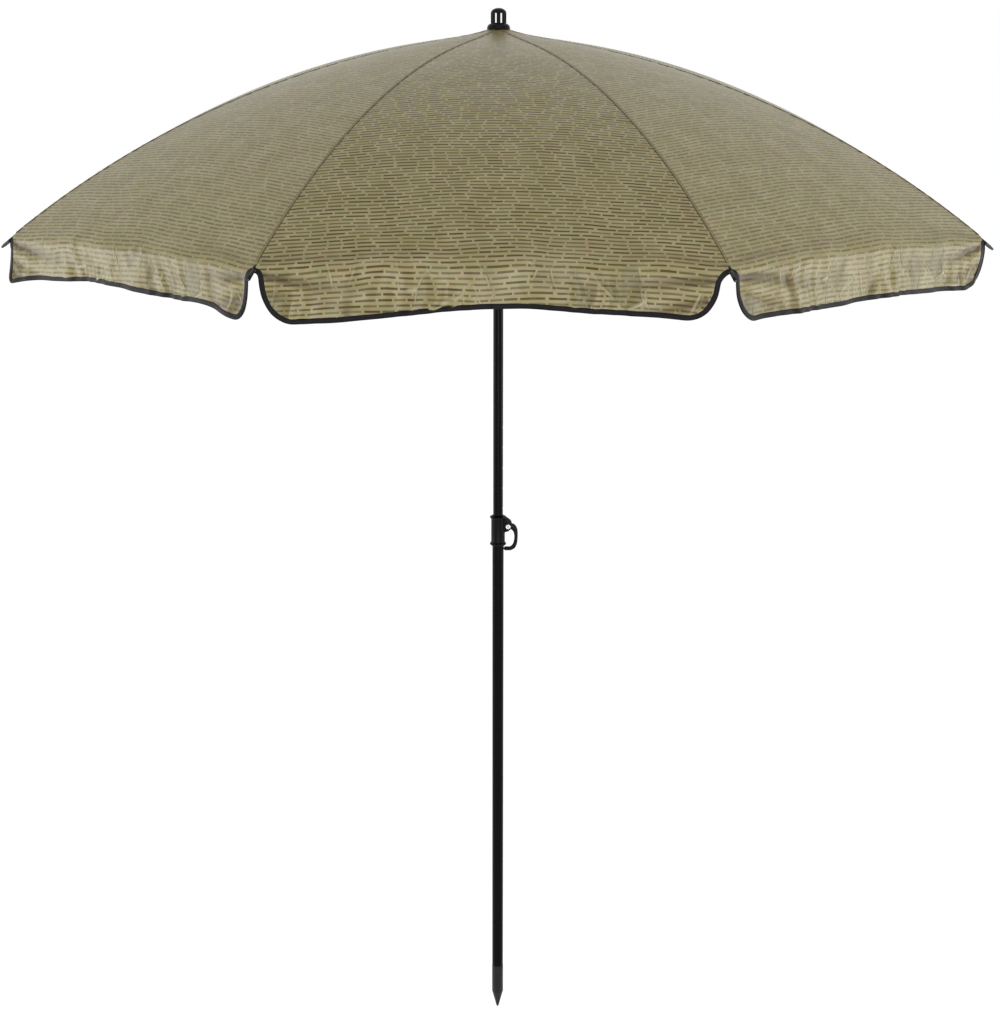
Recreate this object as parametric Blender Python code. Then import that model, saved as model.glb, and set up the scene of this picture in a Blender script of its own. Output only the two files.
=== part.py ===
"""Fishing umbrella: a ribbed canopy on a two-part pole with a sprung height lock and a ground spike.

Metres, +Z up. The origin is the point of the ground spike, and the pole stands on the Z axis.
The camera side of the umbrella is -Y. Eight ribs lie at 45 degrees to each other, with one gore
of cloth facing -Y, and the lever of the height lock points to +X.
"""
import math

import bmesh
import bpy
import numpy as np
from mathutils import Matrix, Vector

# Counts and facets
RIB_COUNT = 8
TUBE_SIDES = 24
MOULDING_SIDES = 24
WIRE_SIDES = 6
ROD_SIDES = 6
HOLE_SIDES = 12
RING_STEPS = 24

# Running gap between pieces that touch, the overrun of a cutter, and a shallow overlap for unions
GAP = 0.0003
OVERRUN = 0.002
SINK = 0.0004

# Poles: two drawn steel tubes, one sliding in the other
LOWER_TUBE_RADIUS = 0.011
LOWER_TUBE_WALL = 0.0012
UPPER_TUBE_WALL = 0.001
UPPER_TUBE_RADIUS = LOWER_TUBE_RADIUS - LOWER_TUBE_WALL - GAP
UPPER_TUBE_BELOW_PIN = 0.1435
HEIGHT_HOLE_PITCH = 0.04
HEIGHT_HOLE_COUNT = 7

# Ground spike: a turned steel point with a shank inside the lower tube
SPIKE_POINT_RADIUS = 0.002
SPIKE_CONE_LENGTH = 0.0336
SPIKE_RADIUS = 0.0113
SPIKE_LENGTH = 0.094
SPIKE_SHANK_LENGTH = 0.04
SPIKE_CHAMFER = 0.0006

# Lock collar on the top of the lower tube
COLLAR_BOTTOM = 0.9892
COLLAR_LENGTH = 0.0606
COLLAR_RADIUS = 0.0134
COLLAR_LIP_RADIUS = 0.0159
COLLAR_LIP_HEIGHT = 0.0074
COLLAR_CAP_THICKNESS = 0.0038
COLLAR_MOUTH_RADIUS = UPPER_TUBE_RADIUS + 0.0013
LIP_EDGE = 0.0012

# Lever of the lock: it hangs on a hollow rivet between two ears of the collar
LEVER_PIVOT_X = 0.0195
LEVER_PIVOT_Z = 1.0277
LEVER_EYE_RADIUS = 0.0052
LEVER_HALF_WIDTH = 0.004
LEVER_REACH = 0.0154
LEVER_DROP = 0.0447
LEVER_END_X = 0.0124
LEVER_THICKNESS = 0.0034
# Centre line of the D-shaped lever from its pivot, in shares of its reach and its drop,
# with its half thickness in shares of the thickness there
LEVER_PATH_SHARES = (
    (0.0, 0.0, 1.45),
    (0.55, -0.02, 1.7),
    (0.9, -0.17, 1.32),
    (1.0, -0.38, 1.0),
    (0.99, -0.57, 0.97),
    (0.9, -0.76, 1.02),
    (0.66, -0.92, 1.1),
    (0.26, -1.0, 1.0),
)
LEVER_STEPS = 3
LEVER_EDGE_SHARE = 0.35

# Ears of the collar, whose outline is given in shares of their reach past the start and of their height
EAR_START_X = 0.0109
EAR_REACH = 0.0161
EAR_HEIGHT = 0.0295
EAR_BOTTOM_Z = 1.016
EAR_THICKNESS = 0.0022
EAR_OUTLINE_SHARES = (
    (0.0, 0.0),
    (0.55, 0.08),
    (0.84, 0.22),
    (0.97, 0.4),
    (1.0, 0.56),
    (0.92, 0.7),
    (0.78, 0.8),
    (0.3, 1.0),
    (0.0, 1.0),
)

# Hollow rivet of the lever
RIVET_RADIUS = 0.0026
RIVET_BORE_RADIUS = 0.0014
RIVET_HEAD_RADIUS = 0.0049
RIVET_HEAD_HEIGHT = 0.0009
RIVET_HEAD_EDGE = 0.0005

# Torsion spring round the rivet, in a pocket of the lever
SPRING_COIL_RADIUS = 0.0038
SPRING_WIRE_RADIUS = 0.0003
SPRING_PITCH = 0.0009
SPRING_TURNS = 1.5
SPRING_STEPS_PER_TURN = 12
SPRING_SIDES = 5
SPRING_POCKET_DEPTH = 0.0022

# Latch pin in the end of the lever
PIN_RADIUS = 0.002
PIN_TIP_X = 0.0076
PIN_END_X = 0.0236
PIN_TIP_EDGE = 0.0005
LOWER_HOLE_RADIUS = 0.003
UPPER_HOLE_RADIUS = 0.0028

# Canopy: the outer surface of the cloth along a rib is an arc of a circle from the crown to the
# corner of the cloth, with a small steeper tent round the finial
RIM_HEIGHT = 1.6124
DOME_RISE = 0.3362
CORNER_RADIUS = 0.885
DOME_BOW = 0.0681
TENT_RISE = 0.0112
TENT_REACH = 0.043
CLAMP_RADIUS = 0.02
CLOTH_HOLE_RADIUS = 0.008
CLOTH_THICKNESS = 0.001
BILLOW = 0.013
BILLOW_POWER = 3
SEAM_GAP = 0.0003
DOME_ROWS = 9
DOME_ROW_POWER = 1.35
GORE_COLUMNS = 12

# Valance: the free flap that hangs from the rim of each gore
VALANCE_MIDDLE_DEPTH = 0.06
VALANCE_CORNER_DEPTH = 0.083
VALANCE_ROWS = 4
FLAP_CORNER_WIDTH = 0.048
FLAP_SETBACK = 0.014
FLAP_SETBACK_DEPTH_SHARE = 0.35
FLAP_SIDE_SHARE = 0.3
RIM_SETBACK = 0.0012
FOLD_DEPTH = 0.0055
FOLD_WAVES = 2.5

# Ribs: spring steel rods that hang on a wire in the crown hub
CROWN_PIVOT_RADIUS = 0.0135
RIB_RADIUS = 0.002
RIB_CLOTH_GAP = 0.0006
RIB_END_SHARE = 1.0165
RIB_TAIL_STEPS = 2
RIB_EYE_RADIUS = 0.0026
RIB_EYE_HALF_WIDTH = 0.0018
EYE_WIRE_GAP = 0.00045

# Crown hub and its wire
HUB_RADIUS = 0.0168
HUB_SPIGOT_LENGTH = 0.034
HUB_FOOT = 0.0052
HUB_SLOT_HALF_WIDTH = 0.0024
HUB_SLOT_INNER_RADIUS = 0.0105
HUB_SLOT_HEADROOM = 0.0034
WIRE_RADIUS = 0.0008
WIRE_GROOVE_GAP = 0.0004
STUD_RADIUS = 0.003
STUD_LENGTH = 0.0082

# Finial: a moulded cage with a skirt that sits on the cloth
FINIAL_RADIUS = 0.0142
FINIAL_SKIRT_RADIUS = 0.0212
FINIAL_SKIRT_HEIGHT = 0.0102
FINIAL_SKIRT_EDGE = 0.0012
FINIAL_POST_LENGTH = 0.019
FINIAL_DOME_HEIGHT = 0.0088
FINIAL_WALL = 0.0028
FINIAL_FLOOR = 0.0014
FINIAL_SLOT_WIDTH = 0.0043
FINIAL_DOME_STEPS = 6
FINIAL_SKIRT_STEPS = 4

# Rib tips: turned caps on the ends of the rods
TIP_LENGTH = 0.0205
TIP_WALL = 0.0006
TIP_NOSE_RADIUS = 0.0019
TIP_SOCKET_DEPTH_SHARE = 0.62
TIP_SIDES = 8

# Clips that join the struts to the ribs
STRUT_JOINT_RADIUS = 0.3
STRUT_JOINT_DROP = 0.0065
CLIP_HALF_LENGTH = 0.007
CLIP_WALL = 0.002
CLIP_TOP = 0.0014
CLIP_TAB_RADIUS = 0.0044
CLIP_RIVET_RADIUS = 0.0022
CLIP_RIVET_LENGTH = 0.0014

# Struts: cranked rods from the runner to the clips
RUNNER_DROP = 0.19
RUNNER_PIVOT_RADIUS = 0.0155
STRUT_RADIUS = 0.0022
STRUT_EYE_RADIUS = 0.003
STRUT_EYE_HALF_WIDTH = 0.0022
STRUT_END_HALF_WIDTH = 0.0016
STRUT_CRANK_SHARES = (0.52, 0.56, 0.62, 0.66)
STRUT_PLAY = 0.0004

# Runner on the upper tube
RUNNER_WHEEL_RADIUS = 0.0185
RUNNER_WHEEL_TOP = 0.008
RUNNER_WHEEL_BOTTOM = 0.008
RUNNER_WAIST_RADIUS = 0.0135
RUNNER_FLANGE_RADIUS = 0.0175
RUNNER_FLANGE_HEIGHT = 0.0045
RUNNER_LENGTH_BELOW = 0.038
RUNNER_SLOT_HALF_WIDTH = 0.0028
RUNNER_SLOT_INNER_RADIUS = 0.0121
RUNNER_SLOT_FLOOR = 0.0042
RUNNER_EDGE = 0.0012

# Catch in the upper tube, drawn pressed in: it springs out under the open runner
CATCH_PIVOT_X = 0.003
CATCH_LENGTH = 0.033
CATCH_HALF_WIDTH = 0.002
CATCH_REACH = 0.0062
CATCH_PIN_RADIUS = 0.001
CATCH_SLOT_LENGTH = 0.0225
CATCH_RUNNER_GAP = 0.0006
# Outline of the catch from its pivot, in shares of its reach and its length
CATCH_OUTLINE_SHARES = (
    (-0.32, -0.07),
    (0.32, -0.07),
    (0.42, 0.1),
    (1.0, 0.78),
    (1.0, 1.0),
    (0.42, 1.0),
    (0.42, 0.82),
    (-0.35, 0.1),
)

# Derived places
SECTOR = 2 * math.pi / RIB_COUNT
HALF_SECTOR = SECTOR / 2
CROWN_HEIGHT = RIM_HEIGHT + DOME_RISE
LOWER_BORE_RADIUS = LOWER_TUBE_RADIUS - LOWER_TUBE_WALL
UPPER_BORE_RADIUS = UPPER_TUBE_RADIUS - UPPER_TUBE_WALL
COLLAR_TOP = COLLAR_BOTTOM + COLLAR_LENGTH
COLLAR_BORE_RADIUS = LOWER_TUBE_RADIUS + GAP
LOWER_TUBE_TOP = COLLAR_TOP - COLLAR_CAP_THICKNESS - GAP
RIB_OFFSET = CLOTH_THICKNESS + RIB_CLOTH_GAP + RIB_RADIUS
EAR_INNER_Y = LEVER_HALF_WIDTH + GAP
EAR_OUTER_Y = EAR_INNER_Y + EAR_THICKNESS
PIN_Z = LEVER_PIVOT_Z - LEVER_DROP
CLIP_INNER = RIB_RADIUS + GAP
CLIP_OUTER = CLIP_INNER + CLIP_WALL
STRUT_PLANE = CLIP_OUTER + STRUT_PLAY + STRUT_RADIUS

# Finishes: colour, roughness, metallic
BLACK_ENAMEL = ((0.012, 0.012, 0.013), 0.32, 0.0)
BLACK_MOULDING = ((0.016, 0.016, 0.018), 0.38, 0.0)
BRIGHT_STEEL = ((0.52, 0.52, 0.5), 0.3, 1.0)
DARK_STEEL = ((0.075, 0.07, 0.062), 0.45, 0.6)
ROD_STEEL = ((0.2, 0.2, 0.2), 0.35, 1.0)
CLOTH = ((0.28, 0.245, 0.13), 0.6, 0.0)


def finish_with(item, finish):
    """Gives an object a material of its own."""
    colour, roughness, metallic = finish
    material = bpy.data.materials.new(item.name + "_finish")
    material.use_nodes = True
    shader = material.node_tree.nodes["Principled BSDF"]
    shader.inputs["Base Color"].default_value = (*colour, 1.0)
    shader.inputs["Roughness"].default_value = roughness
    shader.inputs["Metallic"].default_value = metallic
    item.data.materials.clear()
    item.data.materials.append(material)


def place(name, mesh, finish, parent=None, location=(0, 0, 0)):
    """Adds one named piece with its own copy of a mesh."""
    item = bpy.data.objects.new(name, mesh.copy())
    bpy.context.scene.collection.objects.link(item)
    item.parent = parent
    item.location = location
    item.data.shade_smooth()
    item.data.set_sharp_from_angle(angle=math.radians(35))
    finish_with(item, finish)
    return item


def add_empty(name, location=(0, 0, 0), turn=0.0, parent=None):
    """Adds an empty that stands on a joint, turned about Z."""
    item = bpy.data.objects.new(name, None)
    bpy.context.scene.collection.objects.link(item)
    item.parent = parent
    item.location = location
    item.rotation_euler = (0, 0, turn)
    return item


def closed_mesh(points, faces):
    """A mesh with its faces turned outwards."""
    mesh = bpy.data.meshes.new("solid")
    mesh.from_pydata([tuple(point) for point in points], [], faces)
    shape = bmesh.new()
    shape.from_mesh(mesh)
    bmesh.ops.recalc_face_normals(shape, faces=shape.faces)
    shape.to_mesh(mesh)
    shape.free()
    return mesh


def moved(mesh, matrix):
    """A copy of a mesh in another place."""
    copy = mesh.copy()
    copy.transform(matrix)
    return copy


def boolean(first, second, operation):
    """The union or difference of two closed meshes."""
    pair = []
    for mesh in (first, second):
        item = bpy.data.objects.new("work", mesh)
        bpy.context.scene.collection.objects.link(item)
        pair.append(item)
    step = pair[0].modifiers.new("step", "BOOLEAN")
    step.operation = operation
    step.solver = "EXACT"
    step.object = pair[1]
    graph = bpy.context.evaluated_depsgraph_get()
    result = bpy.data.meshes.new_from_object(pair[0].evaluated_get(graph))
    for item in pair:
        bpy.data.objects.remove(item)
    return result


def cut(mesh, *cutters):
    """A mesh with each cutter taken out of it in turn."""
    for cutter in cutters:
        mesh = boolean(mesh, cutter, "DIFFERENCE")
    return mesh


def join(mesh, *others):
    """A mesh with each of the others fused to it in turn."""
    for other in others:
        mesh = boolean(mesh, other, "UNION")
    return mesh


def turned(profile, sides, closed=False):
    """Revolves (radius, height) points about Z. A closed profile makes a ring, an open one ends on the axis."""
    points = []
    rings = []
    for radius, height in profile:
        if radius == 0:
            rings.append([len(points)])
            points.append((0, 0, height))
            continue
        ring = []
        for step in range(sides):
            angle = 2 * math.pi * step / sides
            ring.append(len(points))
            points.append((radius * math.cos(angle), radius * math.sin(angle), height))
        rings.append(ring)
    pairs = list(zip(rings, rings[1:]))
    if closed:
        pairs.append((rings[-1], rings[0]))
    faces = []
    for first, second in pairs:
        for step in range(sides):
            after = (step + 1) % sides
            face = [
                first[step % len(first)],
                first[after % len(first)],
                second[after % len(second)],
                second[step % len(second)],
            ]
            face = list(dict.fromkeys(face))
            if len(face) > 2:
                faces.append(face)
    return closed_mesh(points, faces)


def rod_along(points, radii, sides, across=Vector((0, 1, 0))):
    """A round rod whose rings stand square to a path."""
    path = [Vector(point) for point in points]
    verts = []
    for index, point in enumerate(path):
        before = path[max(index - 1, 0)]
        after = path[min(index + 1, len(path) - 1)]
        along = (after - before).normalized()
        up = along.cross(across).normalized()
        side = up.cross(along).normalized()
        for step in range(sides):
            angle = 2 * math.pi * (step + 0.5) / sides
            verts.append(point + radii[index] * (math.cos(angle) * side + math.sin(angle) * up))
    faces = [list(range(sides)), list(range(len(verts) - sides, len(verts)))]
    for row in range(len(path) - 1):
        for step in range(sides):
            after = (step + 1) % sides
            faces.append([
                row * sides + step,
                row * sides + after,
                (row + 1) * sides + after,
                (row + 1) * sides + step,
            ])
    return closed_mesh(verts, faces)


def slab(outline, low, high):
    """Extrudes an outline of (x, z) points from one y to another."""
    count = len(outline)
    verts = [(x, low, z) for x, z in outline] + [(x, high, z) for x, z in outline]
    faces = [list(range(count)), list(range(count, 2 * count))]
    for step in range(count):
        after = (step + 1) % count
        faces.append([step, after, count + after, count + step])
    return closed_mesh(verts, faces)


def box(low, high):
    """A block between two corners."""
    outline = [(low[0], low[2]), (high[0], low[2]), (high[0], high[2]), (low[0], high[2])]
    return slab(outline, low[1], high[1])


def cross_pin(radius, low, high, centre, sides=HOLE_SIDES):
    """A cylinder along Y whose axis runs through the (x, z) centre."""
    outline = []
    for step in range(sides):
        angle = 2 * math.pi * (step + 0.5) / sides
        outline.append((centre[0] + radius * math.cos(angle), centre[1] + radius * math.sin(angle)))
    return slab(outline, low, high)


def radial_pin(radius, start, end, height, sides=HOLE_SIDES):
    """A cylinder along X at a height."""
    path = [(start, 0, height), (end, 0, height)]
    return rod_along(path, [radius, radius], sides)


def ring_of_wire(radius, wire, steps=RING_STEPS, sides=WIRE_SIDES):
    """A closed ring of round wire about Z."""
    profile = []
    for step in range(sides):
        angle = 2 * math.pi * step / sides
        profile.append((radius + wire * math.cos(angle), wire * math.sin(angle)))
    return turned(profile, steps, closed=True)


def about_z(angle):
    return Matrix.Rotation(angle, 4, "Z")


def up_by(height):
    return Matrix.Translation((0, 0, height))


def dome_arc():
    """Centre and radius of the circle that the cloth follows along a rib, as (radius, height) from the axis."""
    start = np.array([CROWN_PIVOT_RADIUS, CROWN_HEIGHT])
    end = np.array([CORNER_RADIUS, RIM_HEIGHT])
    chord = end - start
    length = np.hypot(*chord)
    radius = length**2 / (8 * DOME_BOW) + DOME_BOW / 2
    normal = np.array([-chord[1], chord[0]]) / length
    centre = (start + end) / 2 - normal * (radius - DOME_BOW)
    return centre, radius


def on_dome(share, offset=0.0):
    """The (radius, height) point a share of the way along the dome's arc, an offset inside the cloth's outer face."""
    centre, radius = dome_arc()
    start = math.atan2(CROWN_HEIGHT - centre[1], CROWN_PIVOT_RADIUS - centre[0])
    end = math.atan2(RIM_HEIGHT - centre[1], CORNER_RADIUS - centre[0])
    angle = start + share * (end - start)
    reach = radius - offset
    return centre[0] + reach * math.cos(angle), centre[1] + reach * math.sin(angle)


def share_at(radius):
    """How far along the dome's arc a distance from the pole is."""
    centre, reach = dome_arc()
    start = math.atan2(CROWN_HEIGHT - centre[1], CROWN_PIVOT_RADIUS - centre[0])
    end = math.atan2(RIM_HEIGHT - centre[1], CORNER_RADIUS - centre[0])
    angle = math.acos((radius - centre[0]) / reach)
    return (angle - start) / (end - start)


def tent(radius):
    """How far the cloth stands above the dome's arc near the finial."""
    return TENT_RISE * math.exp(-(max(radius, CLAMP_RADIUS) - CLAMP_RADIUS) / TENT_REACH)


def clamp_height():
    """Height of the cloth's outer face where the finial presses it on the hub."""
    return on_dome(share_at(CLAMP_RADIUS))[1] + TENT_RISE


def dome_shares():
    """Shares along the arc for the rows of the cloth and the rings of the ribs, with one at the struts' joints."""
    first = share_at(CLAMP_RADIUS)
    shares = first + (1 - first) * np.linspace(0, 1, DOME_ROWS + 1) ** DOME_ROW_POWER
    joint = share_at(STRUT_JOINT_RADIUS)
    shares[np.argmin(abs(shares - joint))] = joint
    return shares


def rib_pivot():
    """The (radius, height) of a rib's hinge on the crown wire."""
    return on_dome(0.0, RIB_OFFSET)


def hem_depth(across):
    """Depth of the valance at -1 to 1 across the gore: arched up in the middle, with rounded corners."""
    share = abs(across)
    half_chord = CORNER_RADIUS * math.sin(HALF_SECTOR)
    round_share = FLAP_CORNER_WIDTH / half_chord
    depth = VALANCE_MIDDLE_DEPTH + (VALANCE_CORNER_DEPTH - VALANCE_MIDDLE_DEPTH) * share**2
    past = min(max(share - (1 - round_share), 0) / round_share, 1)
    return depth * (FLAP_SIDE_SHARE + (1 - FLAP_SIDE_SHARE) * math.sqrt(1 - past**2))


def gore_columns():
    """Places across the gore from -1 to 1, closer at the rounded corners of the flap."""
    return np.sin(np.linspace(-1, 1, GORE_COLUMNS + 1) * math.pi / 2)


def gore_rows():
    """Rows of outer points of one gore, whose middle faces +X, each with the step to its inner face."""
    columns = gore_columns()
    rows = []
    for radius in (CLOTH_HOLE_RADIUS, CLAMP_RADIUS):
        half = radius * math.sin(HALF_SECTOR) - SEAM_GAP
        rows.append(([(radius * math.cos(HALF_SECTOR), c * half, clamp_height()) for c in columns], (0, -1)))
    shares = dome_shares()[1:]
    for share in shares:
        radius, height = on_dome(share)
        height += tent(radius)
        half = radius * math.sin(HALF_SECTOR) - SEAM_GAP
        swell = BILLOW * (1 - (1 - min(share, 1.0)) ** BILLOW_POWER)
        middle = radius * math.cos(HALF_SECTOR)
        if share == shares[-1]:
            half -= RIM_SETBACK
            rows.append(([(middle, c * half, height + swell * (1 - c * c)) for c in columns], (-0.7, -0.7)))
        else:
            rows.append(([(middle, c * half, height + swell * (1 - c * c)) for c in columns], (0, -1)))
    middle = CORNER_RADIUS * math.cos(HALF_SECTOR)
    half = CORNER_RADIUS * math.sin(HALF_SECTOR) - SEAM_GAP
    for row in range(1, VALANCE_ROWS + 1):
        down = row / VALANCE_ROWS
        setback = RIM_SETBACK + (FLAP_SETBACK - RIM_SETBACK) * min(down / FLAP_SETBACK_DEPTH_SHARE, 1)
        points = []
        for c in columns:
            wave = FOLD_DEPTH * down * math.sin(2 * math.pi * FOLD_WAVES * c / 2 + math.pi / 4)
            rim = RIM_HEIGHT + BILLOW * (1 - c * c) * (1 - down)
            points.append((middle + wave, c * (half - setback), rim - down * hem_depth(c)))
        rows.append((points, (-1, 0)))
    return rows


def gore_mesh():
    """One gore of cloth with its hanging flap, as a thin closed solid."""
    rows = gore_rows()
    width = GORE_COLUMNS + 1
    outer = [point for points, _ in rows for point in points]
    inner = []
    for points, (out, up) in rows:
        inner += [(x + out * CLOTH_THICKNESS, y, z + up * CLOTH_THICKNESS) for x, y, z in points]
    count = len(outer)
    faces = []
    for row in range(len(rows) - 1):
        for column in range(GORE_COLUMNS):
            first = row * width + column
            face = [first, first + 1, first + width + 1, first + width]
            faces.append(face)
            faces.append([count + corner for corner in reversed(face)])
    edge = list(range(width))
    edge += [row * width + width - 1 for row in range(1, len(rows))]
    edge += [(len(rows) - 1) * width + column for column in range(width - 2, -1, -1)]
    edge += [row * width for row in range(len(rows) - 2, 0, -1)]
    for step, corner in enumerate(edge):
        after = edge[(step + 1) % len(edge)]
        faces.append([corner, after, count + after, count + corner])
    return closed_mesh(outer + inner, faces)


def rib_mesh():
    """A rib from its eye at the origin, along +X and down, with a hole for the crown wire."""
    pivot = rib_pivot()
    shares = [0.0] + list(dome_shares())
    tail = np.linspace(1, RIB_END_SHARE, RIB_TAIL_STEPS + 1)[1:]
    path = []
    for share in shares + list(tail):
        radius, height = on_dome(share, RIB_OFFSET)
        path.append((radius - pivot[0], 0, height - pivot[1]))
    rod = rod_along(path, [RIB_RADIUS] * len(path), ROD_SIDES)
    eye = cross_pin(RIB_EYE_RADIUS, -RIB_EYE_HALF_WIDTH, RIB_EYE_HALF_WIDTH, (0, 0))
    squeezed = moved(rod, Matrix.Identity(4))
    for vertex in squeezed.vertices:
        if vertex.co.x < RIB_EYE_RADIUS:
            limit = RIB_EYE_HALF_WIDTH - GAP
            vertex.co.y = max(-limit, min(limit, vertex.co.y))
    hole_radius = WIRE_RADIUS + EYE_WIRE_GAP
    reach = RIB_EYE_HALF_WIDTH + OVERRUN
    return cut(join(eye, squeezed), cross_pin(hole_radius, -reach, reach, (0, 0), ROD_SIDES))


def rib_tip_mesh():
    """A turned cap, open at the origin and pointing to +X, that the end of a rib sits in."""
    bore = RIB_RADIUS + GAP
    outer = bore + TIP_WALL
    depth = TIP_LENGTH * TIP_SOCKET_DEPTH_SHARE
    nose = TIP_LENGTH - TIP_NOSE_RADIUS
    profile = [(0, depth), (bore, depth), (bore, 0), (outer, 0), (outer, depth)]
    profile += [(TIP_NOSE_RADIUS, nose), (TIP_NOSE_RADIUS * math.cos(math.pi / 4), nose + TIP_NOSE_RADIUS / math.sqrt(2))]
    profile.append((0, TIP_LENGTH))
    mesh = turned(profile, TIP_SIDES)
    return moved(mesh, Matrix.Rotation(math.pi / 2, 4, "Y"))


def clip_mesh():
    """A saddle under the rib with one ear beside the strut, about the point of the rib above its joint."""
    saddle = [
        (CLIP_INNER, CLIP_TOP),
        (CLIP_OUTER, CLIP_TOP),
        (CLIP_OUTER, -CLIP_OUTER),
        (-CLIP_OUTER, -CLIP_OUTER),
        (-CLIP_OUTER, CLIP_TOP),
        (-CLIP_INNER, CLIP_TOP),
        (-CLIP_INNER, -CLIP_INNER),
        (CLIP_INNER, -CLIP_INNER),
    ]
    body = moved(slab(saddle, -CLIP_HALF_LENGTH, CLIP_HALF_LENGTH), about_z(math.pi / 2))
    body = moved(body, about_z(math.pi))
    tab = [(-CLIP_HALF_LENGTH, -CLIP_INNER), (CLIP_HALF_LENGTH, -CLIP_INNER)]
    for step in range(HOLE_SIDES // 2 + 1):
        angle = -math.pi * step / (HOLE_SIDES // 2)
        tab.append((CLIP_TAB_RADIUS * math.cos(angle), -STRUT_JOINT_DROP + CLIP_TAB_RADIUS * math.sin(angle)))
    ear = slab(tab, CLIP_INNER, CLIP_OUTER)
    rivet = cross_pin(CLIP_RIVET_RADIUS, CLIP_INNER - CLIP_RIVET_LENGTH, CLIP_OUTER - SINK, (0, -STRUT_JOINT_DROP))
    return join(body, ear, rivet)


def strut_ends():
    """Strut joint on the rib and strut pivot on the runner, as (radius, height), and the strut's length and slope."""
    share = share_at(STRUT_JOINT_RADIUS)
    radius, height = on_dome(share, RIB_OFFSET)
    low = on_dome(share, RIB_OFFSET + STRUT_JOINT_DROP)
    pivot = (RUNNER_PIVOT_RADIUS, rib_pivot()[1] - RUNNER_DROP)
    run = (low[0] - pivot[0], low[1] - pivot[1])
    return (radius, height), low, pivot, math.hypot(*run), math.atan2(run[1], run[0])


def strut_mesh():
    """A cranked rod from the origin along +X, with an eye at each end and a rivet head on the outer one."""
    length = strut_ends()[3]
    first, second, third, fourth = STRUT_CRANK_SHARES
    path = [
        (0, 0, 0),
        (length * first, 0, 0),
        (length * second, STRUT_PLANE * 0.12, 0),
        (length * third, STRUT_PLANE * 0.88, 0),
        (length * fourth, STRUT_PLANE, 0),
        (length, STRUT_PLANE, 0),
    ]
    rod = rod_along(path, [STRUT_RADIUS] * len(path), ROD_SIDES, Vector((0, 0, 1)))
    end_low = STRUT_PLANE - STRUT_RADIUS
    end_high = end_low + 2 * STRUT_END_HALF_WIDTH
    for vertex in rod.vertices:
        if vertex.co.x > length - STRUT_EYE_RADIUS:
            vertex.co.y = max(end_low + SINK, min(end_high - SINK, vertex.co.y))
        if vertex.co.x < STRUT_EYE_RADIUS:
            limit = STRUT_EYE_HALF_WIDTH - GAP
            vertex.co.y = max(-limit, min(limit, vertex.co.y))
    inner = cross_pin(STRUT_EYE_RADIUS, -STRUT_EYE_HALF_WIDTH, STRUT_EYE_HALF_WIDTH, (0, 0))
    outer = cross_pin(STRUT_EYE_RADIUS + RIB_RADIUS / 2, end_low, end_high, (length, 0))
    head = cross_pin(CLIP_RIVET_RADIUS, end_high - SINK, end_high + CLIP_RIVET_LENGTH, (length, 0))
    reach = STRUT_EYE_HALF_WIDTH + OVERRUN
    hole = cross_pin(WIRE_RADIUS + EYE_WIRE_GAP, -reach, reach, (0, 0), ROD_SIDES)
    return cut(join(rod, inner, outer, head), hole)


def spoked(cutter):
    """Copies of a cutter at every rib."""
    return [moved(cutter, about_z(rib_turn(number))) for number in range(RIB_COUNT)]


def rib_turn(number):
    """Angle of a rib from +X about Z; the first one stands half a gore past the camera side."""
    return -math.pi / 2 + HALF_SECTOR + SECTOR * number


def hub_mesh(pivot):
    """Crown hub: a spigot in the tube, a slotted and grooved wheel, and a stud for the finial."""
    pivot_radius, pivot_height = pivot
    foot = pivot_height - HUB_FOOT
    top = clamp_height() - CLOTH_THICKNESS - GAP
    spigot = UPPER_BORE_RADIUS - GAP
    profile = [
        (0, foot - HUB_SPIGOT_LENGTH),
        (spigot, foot - HUB_SPIGOT_LENGTH),
        (spigot, foot),
        (HUB_RADIUS, foot),
        (HUB_RADIUS, top),
        (STUD_RADIUS, top),
        (STUD_RADIUS, top + STUD_LENGTH),
        (0, top + STUD_LENGTH),
    ]
    wheel = turned(profile, MOULDING_SIDES)
    groove_half = WIRE_RADIUS + WIRE_GROOVE_GAP
    groove_floor = pivot_radius - WIRE_RADIUS - GAP
    wide = HUB_RADIUS + OVERRUN
    groove = turned([
        (groove_floor, pivot_height - groove_half),
        (wide, pivot_height - groove_half),
        (wide, pivot_height + groove_half),
        (groove_floor, pivot_height + groove_half),
    ], MOULDING_SIDES, closed=True)
    slot = box(
        (HUB_SLOT_INNER_RADIUS, -HUB_SLOT_HALF_WIDTH, foot - OVERRUN),
        (wide, HUB_SLOT_HALF_WIDTH, pivot_height + HUB_SLOT_HEADROOM),
    )
    return cut(wheel, groove, *spoked(slot))


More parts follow.
